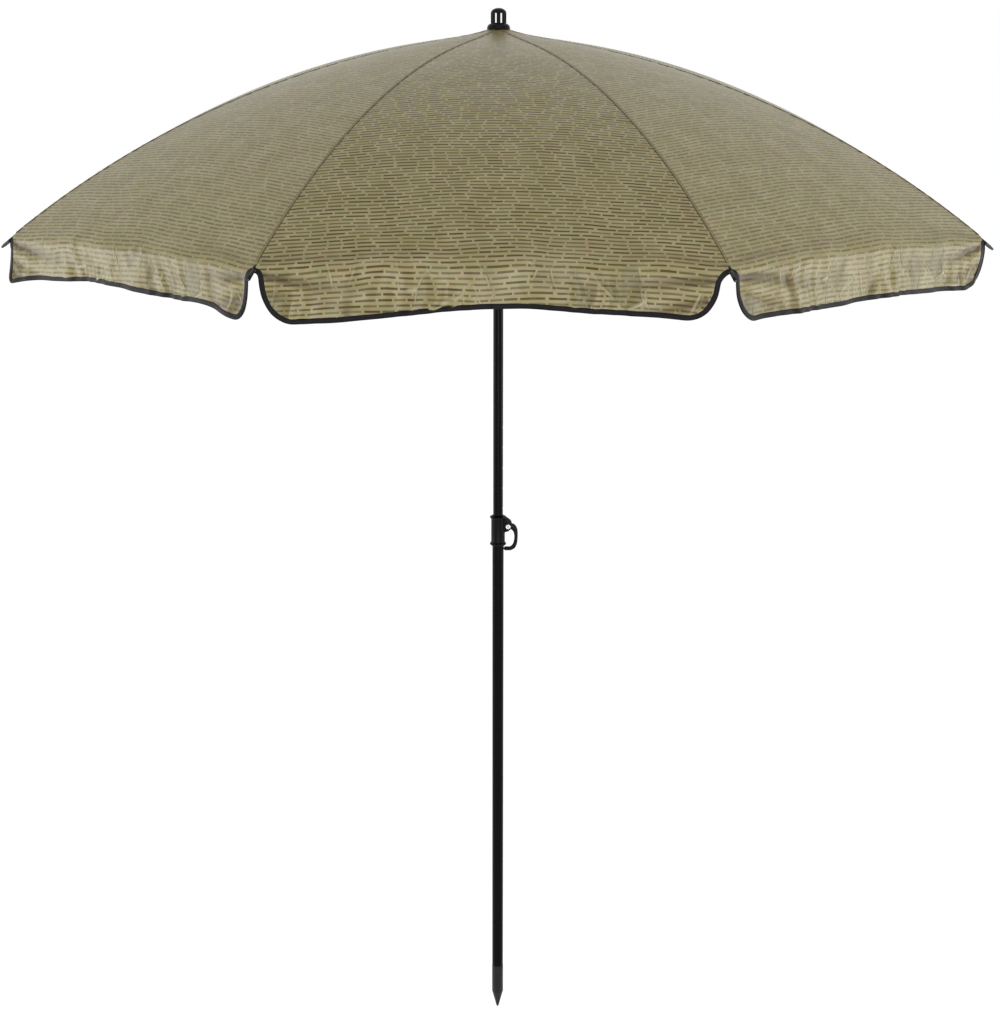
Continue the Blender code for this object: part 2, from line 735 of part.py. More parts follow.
def runner_mesh():
    """Runner about its strut pivots: a slotted and grooved wheel, a waist and a lower flange."""
    bore = UPPER_TUBE_RADIUS + GAP
    flange_top = -RUNNER_LENGTH_BELOW + RUNNER_FLANGE_HEIGHT
    profile = [
        (bore, -RUNNER_LENGTH_BELOW),
        (RUNNER_FLANGE_RADIUS - RUNNER_EDGE, -RUNNER_LENGTH_BELOW),
        (RUNNER_FLANGE_RADIUS, -RUNNER_LENGTH_BELOW + RUNNER_EDGE),
        (RUNNER_FLANGE_RADIUS, flange_top),
        (RUNNER_WAIST_RADIUS, flange_top + RUNNER_EDGE),
        (RUNNER_WAIST_RADIUS, -RUNNER_WHEEL_BOTTOM - RUNNER_EDGE),
        (RUNNER_WHEEL_RADIUS, -RUNNER_WHEEL_BOTTOM),
        (RUNNER_WHEEL_RADIUS, RUNNER_WHEEL_TOP),
        (bore, RUNNER_WHEEL_TOP),
    ]
    barrel = turned(profile, MOULDING_SIDES, closed=True)
    groove_half = WIRE_RADIUS + WIRE_GROOVE_GAP
    groove_floor = RUNNER_PIVOT_RADIUS - WIRE_RADIUS - GAP
    wide = RUNNER_WHEEL_RADIUS + OVERRUN
    groove = turned([
        (groove_floor, -groove_half),
        (wide, -groove_half),
        (wide, groove_half),
        (groove_floor, groove_half),
    ], MOULDING_SIDES, closed=True)
    slot = box(
        (RUNNER_SLOT_INNER_RADIUS, -RUNNER_SLOT_HALF_WIDTH, -RUNNER_SLOT_FLOOR),
        (wide, RUNNER_SLOT_HALF_WIDTH, RUNNER_WHEEL_TOP + OVERRUN),
    )
    return cut(barrel, groove, *spoked(slot))


def finial_mesh(bottom):
    """Finial: a rounded skirt, a cage of posts and a domed cap, hollow behind the posts."""
    skirt_top = bottom + FINIAL_SKIRT_HEIGHT
    shoulder = skirt_top + FINIAL_POST_LENGTH
    hole = STUD_RADIUS + GAP
    hole_top = bottom + STUD_LENGTH - CLOTH_THICKNESS
    profile = [
        (0, hole_top),
        (hole, hole_top),
        (hole, bottom),
        (FINIAL_SKIRT_RADIUS, bottom),
    ]
    for step in range(FINIAL_SKIRT_STEPS):
        angle = math.pi / 2 * step / FINIAL_SKIRT_STEPS
        radius = FINIAL_RADIUS + (FINIAL_SKIRT_RADIUS - FINIAL_RADIUS) * math.cos(angle)
        height = FINIAL_SKIRT_EDGE + (FINIAL_SKIRT_HEIGHT - FINIAL_SKIRT_EDGE) * math.sin(angle)
        profile.append((radius, bottom + height))
    profile.append((FINIAL_RADIUS, skirt_top))
    for step in range(FINIAL_DOME_STEPS):
        angle = math.pi / 2 * step / FINIAL_DOME_STEPS
        profile.append((FINIAL_RADIUS * math.cos(angle), shoulder + FINIAL_DOME_HEIGHT * math.sin(angle)))
    profile.append((0, shoulder + FINIAL_DOME_HEIGHT))
    body = turned(profile, MOULDING_SIDES)
    room = FINIAL_RADIUS - FINIAL_WALL
    floor = skirt_top + FINIAL_FLOOR
    cavity = turned([(0, floor), (room, floor), (room, shoulder), (0, shoulder)], MOULDING_SIDES)
    half = FINIAL_SLOT_WIDTH / 2
    slot = box((room - OVERRUN, -half, floor), (FINIAL_RADIUS + OVERRUN, half, shoulder))
    return cut(body, cavity, *spoked(slot))


def collar_mesh():
    """Lock collar: a lipped sleeve over the lower tube with two ears for the lever."""
    edge = COLLAR_LIP_RADIUS
    soft = edge - LIP_EDGE / 4
    top_middle = COLLAR_TOP - COLLAR_LIP_HEIGHT / 2
    low_middle = COLLAR_BOTTOM + COLLAR_LIP_HEIGHT / 2
    cap_floor = COLLAR_TOP - COLLAR_CAP_THICKNESS
    profile = [
        (COLLAR_BORE_RADIUS, COLLAR_BOTTOM),
        (COLLAR_RADIUS - LIP_EDGE / 2, COLLAR_BOTTOM),
        (soft, low_middle - LIP_EDGE),
        (edge, low_middle),
        (soft, low_middle + LIP_EDGE),
        (COLLAR_RADIUS, COLLAR_BOTTOM + COLLAR_LIP_HEIGHT),
        (COLLAR_RADIUS, COLLAR_TOP - COLLAR_LIP_HEIGHT),
        (soft, top_middle - LIP_EDGE),
        (edge, top_middle),
        (soft, top_middle + LIP_EDGE),
        (COLLAR_MOUTH_RADIUS, COLLAR_TOP),
        (UPPER_TUBE_RADIUS + GAP, COLLAR_TOP),
        (UPPER_TUBE_RADIUS + GAP, cap_floor),
        (COLLAR_BORE_RADIUS, cap_floor),
    ]
    sleeve = turned(profile, MOULDING_SIDES, closed=True)
    outline = [(EAR_START_X + x * EAR_REACH, EAR_BOTTOM_Z + z * EAR_HEIGHT) for x, z in EAR_OUTLINE_SHARES]
    ears = [slab(outline, low, low + EAR_THICKNESS) for low in (-EAR_OUTER_Y, EAR_INNER_Y)]
    reach = EAR_OUTER_Y + OVERRUN
    hole = cross_pin(RIVET_RADIUS + GAP, -reach, reach, (LEVER_PIVOT_X, LEVER_PIVOT_Z))
    return cut(join(sleeve, *ears), hole)


def smooth_through(points, steps):
    """A smooth curve through points, with a number of steps between each two."""
    points = np.array(points, float)
    padded = np.vstack([2 * points[0] - points[1], points, 2 * points[-1] - points[-2]])
    curve = []
    for index in range(1, len(padded) - 2):
        before, start, end, after = padded[index - 1:index + 3]
        for share in np.arange(steps) / steps:
            curve.append(
                start
                + (end - before) / 2 * share
                + (before - start * 5 / 2 + end * 2 - after / 2) * share**2
                + (after - before + (start - end) * 3) / 2 * share**3
            )
    curve.append(padded[-2])
    return np.array(curve)


def lever_mesh():
    """D-shaped lever about its pivot: an eye, a curved strap, a spring pocket and a bore for the latch pin."""
    scale = np.array([LEVER_REACH, LEVER_DROP, LEVER_THICKNESS])
    curve = smooth_through([np.array(point) * scale for point in LEVER_PATH_SHARES], LEVER_STEPS)
    end = np.array([LEVER_END_X - LEVER_PIVOT_X, -LEVER_DROP, LEVER_THICKNESS])
    curve = np.vstack([curve, end])
    edge = LEVER_EDGE_SHARE * LEVER_THICKNESS
    verts = []
    for index, (x, z, half) in enumerate(curve):
        before = curve[max(index - 1, 0)][:2]
        after = curve[min(index + 1, len(curve) - 1)][:2]
        along = (after - before) / np.hypot(*(after - before))
        out = np.array([-along[1], along[0]])
        wide = LEVER_HALF_WIDTH
        section = [
            (half, wide - edge), (half - edge, wide), (-half + edge, wide), (-half, wide - edge),
            (-half, -wide + edge), (-half + edge, -wide), (half - edge, -wide), (half, -wide + edge),
        ]
        verts += [(x + out[0] * height, side, z + out[1] * height) for height, side in section]
    faces = [list(range(8)), list(range(len(verts) - 8, len(verts)))]
    for row in range(len(curve) - 1):
        for step in range(8):
            after = (step + 1) % 8
            faces.append([row * 8 + step, row * 8 + after, row * 8 + 8 + after, row * 8 + 8 + step])
    strap = closed_mesh(verts, faces)
    eye = cross_pin(LEVER_EYE_RADIUS, -LEVER_HALF_WIDTH, LEVER_HALF_WIDTH, (0, 0), TUBE_SIDES)
    reach = LEVER_HALF_WIDTH + OVERRUN
    hole = cross_pin(RIVET_RADIUS + GAP, -reach, reach, (0, 0))
    pocket_radius = LEVER_EYE_RADIUS + SPRING_WIRE_RADIUS
    pocket = cross_pin(pocket_radius, LEVER_HALF_WIDTH - SPRING_POCKET_DEPTH, reach, (0, 0), TUBE_SIDES)
    bore = radial_pin(
        PIN_RADIUS + GAP,
        LEVER_END_X - OVERRUN - LEVER_PIVOT_X,
        PIN_END_X + GAP - LEVER_PIVOT_X,
        -LEVER_DROP,
    )
    return cut(join(strap, eye), hole, pocket, bore)


def rivet_mesh():
    """Hollow rivet with two low heads, along Y."""
    under = EAR_OUTER_Y + GAP
    face = under + RIVET_HEAD_HEIGHT
    profile = [
        (RIVET_BORE_RADIUS, -face),
        (RIVET_HEAD_RADIUS - RIVET_HEAD_EDGE, -face),
        (RIVET_HEAD_RADIUS, -face + RIVET_HEAD_EDGE),
        (RIVET_HEAD_RADIUS, -under),
        (RIVET_RADIUS, -under),
        (RIVET_RADIUS, under),
        (RIVET_HEAD_RADIUS, under),
        (RIVET_HEAD_RADIUS, face - RIVET_HEAD_EDGE),
        (RIVET_HEAD_RADIUS - RIVET_HEAD_EDGE, face),
        (RIVET_BORE_RADIUS, face),
    ]
    return moved(turned(profile, HOLE_SIDES + ROD_SIDES, closed=True), Matrix.Rotation(math.pi / 2, 4, "X"))


def spring_mesh():
    """Torsion spring round the rivet, with a leg that bears on the collar."""
    path = []
    steps = round(SPRING_TURNS * SPRING_STEPS_PER_TURN)
    start_y = LEVER_HALF_WIDTH - SPRING_POCKET_DEPTH + GAP + SPRING_WIRE_RADIUS
    for step in range(steps + 1):
        turn = 2 * math.pi * step / SPRING_STEPS_PER_TURN - math.pi / 2
        side = start_y + SPRING_PITCH * step / SPRING_STEPS_PER_TURN
        path.append((SPRING_COIL_RADIUS * math.cos(turn), side, SPRING_COIL_RADIUS * math.sin(turn)))
    last = path[-1]
    wall = math.sqrt(COLLAR_RADIUS**2 - last[1] ** 2) + 2 * GAP - LEVER_PIVOT_X
    path.append((wall, last[1], last[2]))
    return rod_along(path, [SPRING_WIRE_RADIUS] * len(path), SPRING_SIDES)


def spike_mesh():
    """Turned ground spike from its point up to the shank inside the lower tube."""
    profile = [
        (0, 0),
        (SPIKE_POINT_RADIUS, 0),
        (SPIKE_RADIUS - SPIKE_CHAMFER, SPIKE_CONE_LENGTH - SPIKE_CHAMFER),
        (SPIKE_RADIUS, SPIKE_CONE_LENGTH + SPIKE_CHAMFER),
        (SPIKE_RADIUS, SPIKE_LENGTH - SPIKE_CHAMFER),
        (SPIKE_RADIUS - SPIKE_CHAMFER, SPIKE_LENGTH),
        (LOWER_BORE_RADIUS - GAP, SPIKE_LENGTH),
        (LOWER_BORE_RADIUS - GAP, SPIKE_LENGTH + SPIKE_SHANK_LENGTH),
        (0, SPIKE_LENGTH + SPIKE_SHANK_LENGTH),
    ]
    return turned(profile, TUBE_SIDES)


def tube_mesh(radius, bore, bottom, top):
    """A plain round tube."""
    return turned([(bore, bottom), (radius, bottom), (radius, top), (bore, top)], TUBE_SIDES, closed=True)


def catch_places(runner_pivot_height):
    """Height of the catch's pivot, which puts its shoulder just under the open runner."""
    return runner_pivot_height - RUNNER_LENGTH_BELOW - CATCH_RUNNER_GAP - CATCH_LENGTH


def upper_tube_mesh(top, catch_height):
    """Upper tube with its row of height holes, the slot of the catch and the holes of its pin."""
    tube = tube_mesh(UPPER_TUBE_RADIUS, UPPER_BORE_RADIUS, PIN_Z - UPPER_TUBE_BELOW_PIN, top)
    near = UPPER_BORE_RADIUS - OVERRUN
    far = UPPER_TUBE_RADIUS + OVERRUN
    cutters = []
    for step in range(HEIGHT_HOLE_COUNT):
        cutters.append(radial_pin(UPPER_HOLE_RADIUS, near, far, PIN_Z + HEIGHT_HOLE_PITCH * step))
    half = CATCH_HALF_WIDTH + GAP
    slot_top = catch_height + CATCH_LENGTH + GAP
    cutters.append(box((-far, -half, slot_top - CATCH_SLOT_LENGTH), (-near, half, slot_top)))
    cutters.append(cross_pin(CATCH_PIN_RADIUS + GAP, -far, far, (-CATCH_PIVOT_X, catch_height)))
    return cut(tube, *cutters)


def catch_mesh():
    """Catch about its pivot, reaching to +X at its top, with a hole for its pin."""
    outline = [(x * CATCH_REACH, z * CATCH_LENGTH) for x, z in CATCH_OUTLINE_SHARES]
    reach = CATCH_HALF_WIDTH + OVERRUN
    hole = cross_pin(CATCH_PIN_RADIUS + GAP, -reach, reach, (0, 0))
    return cut(slab(outline, -CATCH_HALF_WIDTH, CATCH_HALF_WIDTH), hole)


def build_lower_pole():
    """The pieces that stand in the ground."""
    place("ground_spike", spike_mesh(), DARK_STEEL)
    bore = LOWER_BORE_RADIUS
    tube = tube_mesh(LOWER_TUBE_RADIUS, bore, SPIKE_LENGTH + GAP, LOWER_TUBE_TOP)
    hole = radial_pin(LOWER_HOLE_RADIUS, bore - OVERRUN, LOWER_TUBE_RADIUS + OVERRUN, PIN_Z)
    place("lower_pole", cut(tube, hole), BLACK_ENAMEL)
    place("lock_collar", collar_mesh(), BLACK_MOULDING)
    pivot = add_empty("lever_pivot", (LEVER_PIVOT_X, 0, LEVER_PIVOT_Z))
    place("lever_rivet", rivet_mesh(), BRIGHT_STEEL, pivot)
    place("lever_spring", spring_mesh(), BRIGHT_STEEL, pivot)
    place("lock_lever", lever_mesh(), BLACK_MOULDING, pivot)
    pin = turned([
        (0, PIN_TIP_X),
        (PIN_RADIUS - PIN_TIP_EDGE, PIN_TIP_X),
        (PIN_RADIUS, PIN_TIP_X + PIN_TIP_EDGE),
        (PIN_RADIUS, PIN_END_X),
        (0, PIN_END_X),
    ], HOLE_SIDES)
    lying = moved(pin, Matrix.Rotation(math.pi / 2, 4, "Y"))
    place("latch_pin", lying, BRIGHT_STEEL, pivot, (-LEVER_PIVOT_X, 0, -LEVER_DROP))


def build_upper_pole():
    """The sliding tube with the crown, the finial and the catch. Returns the height of the runner's pivots."""
    height_slide = add_empty("height_slide")
    pivot = rib_pivot()
    runner_height = strut_ends()[2][1]
    catch_height = catch_places(runner_height)
    tube_top = pivot[1] - HUB_FOOT - GAP
    place("upper_pole", upper_tube_mesh(tube_top, catch_height), BLACK_ENAMEL, height_slide)
    place("crown_hub", hub_mesh(pivot), BLACK_MOULDING, height_slide)
    wire = ring_of_wire(pivot[0], WIRE_RADIUS)
    place("crown_wire", wire, BRIGHT_STEEL, height_slide, (0, 0, pivot[1]))
    place("finial", finial_mesh(clamp_height() + GAP), BLACK_MOULDING, height_slide)
    catch_pivot = add_empty("catch_pivot", (-CATCH_PIVOT_X, 0, catch_height), math.pi, height_slide)
    place("pole_catch", catch_mesh(), BRIGHT_STEEL, catch_pivot)
    half = math.sqrt(UPPER_TUBE_RADIUS**2 - CATCH_PIVOT_X**2) - GAP
    pin = cross_pin(CATCH_PIN_RADIUS, -half, half, (0, 0), ROD_SIDES)
    place("catch_pin", pin, BRIGHT_STEEL, catch_pivot)
    return height_slide, runner_height


def build_frame(height_slide, runner_height):
    """Runner, ribs, tips, clips and struts."""
    runner_slide = add_empty("runner_slide", (0, 0, runner_height), 0.0, height_slide)
    place("runner", runner_mesh(), BLACK_MOULDING, runner_slide)
    place("runner_wire", ring_of_wire(RUNNER_PIVOT_RADIUS, WIRE_RADIUS), BRIGHT_STEEL, runner_slide)
    rib, tip, clip, strut = rib_mesh(), rib_tip_mesh(), clip_mesh(), strut_mesh()
    pivot = rib_pivot()
    joint, _, _, _, slope = strut_ends()
    centre = dome_arc()[0]
    lean = math.atan2(joint[0] - centre[0], joint[1] - centre[1])
    rod_end = on_dome(RIB_END_SHARE, RIB_OFFSET)
    tip_lean = math.atan2(rod_end[0] - centre[0], rod_end[1] - centre[1])
    socket = TIP_LENGTH * TIP_SOCKET_DEPTH_SHARE - GAP
    tip_start = (rod_end[0] - socket * math.cos(tip_lean), rod_end[1] + socket * math.sin(tip_lean))
    clip = moved(clip, Matrix.Rotation(lean, 4, "Y"))
    tip = moved(tip, Matrix.Rotation(tip_lean, 4, "Y"))
    strut = moved(strut, Matrix.Rotation(-slope, 4, "Y"))
    for number in range(RIB_COUNT):
        turn = rib_turn(number)
        label = f"_{number + 1}"
        out = Vector((math.cos(turn), math.sin(turn), 0))
        rib_hinge = add_empty("rib_hinge" + label, out * pivot[0] + Vector((0, 0, pivot[1])), turn, height_slide)
        place("rib" + label, rib, ROD_STEEL, rib_hinge)
        place("rib_tip" + label, tip, BRIGHT_STEEL, rib_hinge, (tip_start[0] - pivot[0], 0, tip_start[1] - pivot[1]))
        place("rib_clip" + label, clip, BLACK_MOULDING, rib_hinge, (joint[0] - pivot[0], 0, joint[1] - pivot[1]))
        strut_hinge = add_empty("strut_hinge" + label, out * RUNNER_PIVOT_RADIUS, turn, runner_slide)
        place("strut" + label, strut, BLACK_ENAMEL, strut_hinge)


def build_canopy(height_slide):
    """Eight gores of cloth, the first one facing the camera side."""
    gore = gore_mesh()
    for number in range(RIB_COUNT):
        turn = rib_turn(number) - HALF_SECTOR
        seat = add_empty(f"gore_seat_{number + 1}", (0, 0, 0), turn, height_slide)
        place(f"canopy_panel_{number + 1}", gore, CLOTH, seat)


def main():
    for item in list(bpy.data.objects):
        bpy.data.objects.remove(item)
    build_lower_pole()
    height_slide, runner_height = build_upper_pole()
    build_frame(height_slide, runner_height)
    build_canopy(height_slide)


main()
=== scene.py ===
# %% [markdown]
# # A fishing umbrella in a rain-dash camouflage print
#
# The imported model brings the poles, the folding ribs and plain cloth solids.
# This lesson dresses it: it sews a cover of real cloth over the ribs, binds its
# hem in black tape, stitches the seams, and gives each hard piece the finish it
# has on the real umbrella. The camera comes first, because everything that
# follows is judged through it.

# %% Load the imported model
import math

import bpy
import numpy as np
from mathutils import Matrix, Vector


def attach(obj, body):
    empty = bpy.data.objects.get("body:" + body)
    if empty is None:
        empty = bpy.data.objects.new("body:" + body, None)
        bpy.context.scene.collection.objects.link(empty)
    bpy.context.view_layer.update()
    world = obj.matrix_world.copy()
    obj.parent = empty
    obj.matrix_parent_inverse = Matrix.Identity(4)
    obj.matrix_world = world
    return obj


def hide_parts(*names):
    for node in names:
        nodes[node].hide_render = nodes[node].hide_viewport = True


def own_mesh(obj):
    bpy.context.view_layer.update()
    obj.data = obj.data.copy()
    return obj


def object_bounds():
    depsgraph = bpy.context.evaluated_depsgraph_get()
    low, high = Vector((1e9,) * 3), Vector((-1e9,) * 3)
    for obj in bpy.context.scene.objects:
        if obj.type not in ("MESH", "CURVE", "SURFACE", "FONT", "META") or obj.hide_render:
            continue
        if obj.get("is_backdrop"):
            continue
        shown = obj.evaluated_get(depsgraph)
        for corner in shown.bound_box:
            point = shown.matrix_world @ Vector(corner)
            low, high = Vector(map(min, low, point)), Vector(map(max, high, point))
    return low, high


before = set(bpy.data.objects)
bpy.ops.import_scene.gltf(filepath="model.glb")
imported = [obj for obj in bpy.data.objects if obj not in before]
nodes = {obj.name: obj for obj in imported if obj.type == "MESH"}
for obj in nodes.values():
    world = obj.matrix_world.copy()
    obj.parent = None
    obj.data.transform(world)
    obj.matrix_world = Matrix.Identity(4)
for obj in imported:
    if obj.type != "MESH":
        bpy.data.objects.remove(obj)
solid_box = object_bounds()

# %% [markdown]
# ## The camera
#
# A photographer stood about 3.3 m away with the lens a little below the crown,
# looking down by some 14 degrees. We could move a camera by hand until it fits,
# but a lens of known angle and a measured place are repeatable, so both are
# written as numbers: the place in metres and the turns in degrees.

# %% Place the camera
PHOTO_WIDTH, PHOTO_HEIGHT = 1000, 1013
FOCAL_PIXELS = 1775
SENSOR, FAR_END = 36.0, 60
CAMERA_BACK, CAMERA_RIGHT, CAMERA_HEIGHT = 3.3434, 0.0058, 1.8743
CAMERA_DOWN, CAMERA_YAW, CAMERA_ROLL = 13.58, 0.035, 0.076
OBJECT_TURN = 0.548

camera = bpy.data.objects.new("camera", bpy.data.cameras.new("camera"))
bpy.context.scene.collection.objects.link(camera)
camera.data.sensor_fit = "HORIZONTAL"
camera.data.sensor_width = SENSOR
camera.data.lens = SENSOR * FOCAL_PIXELS / PHOTO_WIDTH
camera.data.clip_end = FAR_END
turn = Matrix.Rotation(math.radians(OBJECT_TURN), 4, "Z")
place = Matrix.Translation((CAMERA_RIGHT, -CAMERA_BACK, CAMERA_HEIGHT))
yaw = Matrix.Rotation(math.radians(CAMERA_YAW), 4, "Z")
pitch = Matrix.Rotation(math.radians(90 - CAMERA_DOWN), 4, "X")
roll = Matrix.Rotation(math.radians(CAMERA_ROLL), 4, "Z")
camera.matrix_world = turn @ place @ yaw @ pitch @ roll
bpy.context.scene.camera = camera
print("camera at", [round(x, 3) for x in camera.matrix_world.translation])

# %% [markdown]
# ## Helpers for surfaces
#
# Every new piece here is a surface: a grid of points worked out by a formula.
# One helper makes the faces between the rows and columns of a grid, and one
# turns points, faces and cloth coordinates into a mesh. Working on whole arrays
# keeps even the long seams quick.


# %% Grids and meshes
def grid_faces(rows, columns, wrap=False):
    """Four-cornered faces between neighbouring rows and columns; wrap closes each row on itself."""
    index = np.arange(rows * columns).reshape(rows, columns)
    right = np.roll(index, -1, axis=1) if wrap else index[:, 1:]
    left = index if wrap else index[:, :-1]
    return np.stack([left[:-1], right[:-1], right[1:], left[1:]], axis=-1).reshape(-1, 4)


def volume_of(points, faces):
    """Volume inside closed faces: the sum of the slim pyramids from the origin to each face."""
    total = 0.0
    for group in faces:
        for step in range(1, group.shape[1] - 1):
            a, b, c = points[group[:, 0]], points[group[:, step]], points[group[:, step + 1]]
            total += float(np.sum(a * np.cross(b, c))) / 6
    return total


def make_piece(name, points, faces, uv=None, slots=None, smooth=None, fields=None):
    """A closed mesh with its faces turned outwards; uv has a pair and each field a number for every point."""
    points = np.asarray(points, float).reshape(-1, 3)
    if volume_of(points, faces) < 0:
        faces = [group[:, ::-1] for group in faces]
    mesh = bpy.data.meshes.new(name)
    mesh.from_pydata(points.tolist(), [], [face for group in faces for face in group.tolist()])
    mesh.shade_smooth()
    if uv is not None:
        layer = mesh.uv_layers.new(name="cloth")
        corners = np.empty(len(mesh.loops), dtype=np.int32)
        mesh.loops.foreach_get("vertex_index", corners)
        layer.data.foreach_set("uv", np.asarray(uv, np.float32).reshape(-1, 2)[corners].ravel())
    for field, values in (fields or {}).items():
        stored = mesh.attributes.new(field, "FLOAT", "POINT")
        stored.data.foreach_set("value", np.asarray(values, np.float32).ravel())
    if slots is not None:
        mesh.polygons.foreach_set("material_index", np.asarray(slots, np.int32))
    if smooth is not None:
        mesh.polygons.foreach_set("use_smooth", np.asarray(smooth, bool))
    piece = bpy.data.objects.new(name, mesh)
    bpy.context.scene.collection.objects.link(piece)
    return piece


def unit(vectors):
    """Vectors scaled to length one."""
    return vectors / np.maximum(np.linalg.norm(vectors, axis=-1, keepdims=True), 1e-12)


def normals_of(points):
    """Unit normals of a grid: the slope along the rows crossed with the slope across them."""
    return unit(np.cross(np.gradient(points, axis=1), np.gradient(points, axis=0)))


def lengths_along(points):
    """How far each point of a path lies along it, from zero at the first."""
    return np.concatenate([[0], np.cumsum(np.linalg.norm(np.diff(points, axis=0), axis=-1))])


def points_at(wanted, far, points):
    """Rows of points, or of other triples, read off between the rows of a path at wanted distances."""
    return np.stack([np.interp(wanted, far, points[:, k]) for k in range(3)], axis=-1)


def turned_about_z(points, angle):
    """Points turned about the pole by an angle in radians."""
    c, s = math.cos(angle), math.sin(angle)
    return points @ np.array([[c, s, 0], [-s, c, 0], [0, 0, 1]])


# %% [markdown]
# ## The shape of the cover
#
# Eight sprung ribs hold the cover like a shallow dome: along a rib the cloth
# follows an arc of a circle, and between two ribs it spans almost straight and
# billows a little. At the rim it bends down into a loose flap with rounded
# corners. One formula holds all of that, and the cloth, the seams and the
# binding all ask it where they are, so they can never drift apart.

# %% Sizes of the cover, in metres
RIBS = 8
HALF_SECTOR = math.pi / RIBS
CORNER_RADIUS = 0.890
HALF_CHORD = CORNER_RADIUS * math.sin(HALF_SECTOR)
CROWN_RADIUS, CROWN_HEIGHT = 0.0135, 1.9486
ARC_END_RADIUS, ARC_END_HEIGHT = 0.885, 1.6124
DOME_BOW = 0.0681
TENT_RISE, TENT_REACH = 0.0112, 0.043
CLAMP_RADIUS = 0.02
CLOTH_EDGE_RADIUS = 0.0105
BILLOW, BILLOW_POWER = 0.013, 3
CLOTH_THICKNESS = 0.0005
FLAP_MIDDLE, FLAP_CORNER = 0.056, 0.079
FLAP_CORNER_WIDTH = 0.05
FLAP_SIDE_SHARE = 0.3
# The cloth starts to bend this far inside the rim and hangs free once it has dropped a share of that;
# at the rim its normals lean up by the last number
RIM_BEND, RIM_SHARE, RIM_LEAN = 0.018, 0.7, 0.7


def dome_circle():
    """Centre and radius of the rib arc, from its chord and its bow."""
    start, end = np.array([CROWN_RADIUS, CROWN_HEIGHT]), np.array([ARC_END_RADIUS, ARC_END_HEIGHT])
    chord = end - start
    length = np.hypot(*chord)
    radius = length**2 / (8 * DOME_BOW) + DOME_BOW / 2
    return (start + end) / 2 - np.array([-chord[1], chord[0]]) / length * (radius - DOME_BOW), radius


DOME_CENTRE, DOME_RADIUS = dome_circle()


def dome_height(radius, under=0.0):
    """Height over a rib at a radius: the arc, or one that runs under it, plus a small tent at the finial."""
    arc = DOME_CENTRE[1] + np.sqrt((DOME_RADIUS - under) ** 2 - (radius - DOME_CENTRE[0]) ** 2)
    return arc + TENT_RISE * np.exp(-(np.maximum(radius, CLAMP_RADIUS) - CLAMP_RADIUS) / TENT_REACH)


def swell(radius, c):
    """Rise of the cloth between two ribs: none at the finial and on the ribs, most at the rim's middle."""
    share = np.clip((radius - CLAMP_RADIUS) / (CORNER_RADIUS - CLAMP_RADIUS), 0, 1)
    return BILLOW * (1 - (1 - share) ** BILLOW_POWER) * (1 - c**2)


print("the cover is sewn to an arc of", round(DOME_RADIUS, 3), "m")

# %% [markdown]
# No two flaps hang alike. The hem of each one sinks and rises by a few
# millimetres, its corners curl in or out, and slow waves run through it. The
# three flaps that the photograph shows were measured, the others are drawn
# from a seeded generator, so they come out the same on every run.

# %% How each flap hangs
HEMS = {
    1: ((-0.20, 0.10, 0.008), (0.02, 0.08, -0.003), (0.27, 0.07, -0.004)),
    2: ((-0.08, 0.15, 0.015), (0.16, 0.13, 0.009)),
    8: ((-0.27, 0.09, -0.009), (-0.10, 0.09, -0.006), (0.0, 0.08, -0.002), (0.23, 0.06, -0.008)),
}
CURLS = {1: (0.002, 0.003), 2: (0.004, -0.006), 3: (-0.016, 0.004), 7: (0.003, -0.014), 8: (0.024, -0.006)}
# Widths of the rounded corners at both ends of a flap, where they differ from the usual
CORNER_WIDTHS = {8: (0.024, 0.032), 2: (0.05, 0.06)}
# How far the flap's side steps back from the rib, and over what drop, at both ends of a flap
USUAL_NOTCH = (0.0085, 0.009)
NOTCHES = {1: (USUAL_NOTCH, (0.015, 0.018))}
NOTCH_LEAN, NOTCH_LEAN_DROP = 0.005, 0.05
# Least and most place, width and depth of a drawn hill
DRAWN_HILL = ((-0.2, 0.2), (0.07, 0.15), (-0.005, 0.008))
# Waves of the hem: the swing at the hem, and each wave's length with its share of the swing
HEM_SWING = 0.005
HEM_WAVES = ((0.26, 1.0), (0.118, 0.5), (0.061, 0.2))
# Narrow folds stand in patches, and die out over a calm strip beside the ribs
FOLD_LENGTH, FOLD_SWING, FOLD_BEND = 0.029, 0.0016, 0.006
PATCH_LENGTH, CALM_STRIP = 0.23, 0.045
CURL_LIMIT, CURL_REACH = 0.011, 0.055
FULL_TURN = 2 * math.pi


def hill(distance, width):
    """A smooth hill of height one."""
    return np.exp(-((distance / width) ** 2))


def drawn_hem(gore):
    """Three hills for a hem that the photograph does not show: place, width and depth."""
    draw = np.random.default_rng(120 + gore)
    return [[draw.uniform(*limits) for limits in DRAWN_HILL] for _ in range(3)]


def flap_arch(gore, c):
    """Drop of the flap at c, from -1 to 1 at the ribs, if its corners were square: an uneven arch."""
    hills = HEMS.get(gore) or drawn_hem(gore)
    uneven = sum(deep * hill(c * HALF_CHORD - place, width) for place, width, deep in hills)
    return FLAP_MIDDLE + (FLAP_CORNER - FLAP_MIDDLE) * c**2 + uneven + BILLOW * (1 - c**2)


def corner_share(gore, c):
    """Share of the arch that the flap reaches at c: one, falling on a quarter ellipse at each corner."""
    left, right = CORNER_WIDTHS.get(gore, (FLAP_CORNER_WIDTH, FLAP_CORNER_WIDTH))
    wide = np.where(c < 0, left, right) / HALF_CHORD
    past = np.clip((np.abs(c) - (1 - wide)) / wide, 0, 1)
    return FLAP_SIDE_SHARE + (1 - FLAP_SIDE_SHARE) * np.sqrt(1 - past**2)


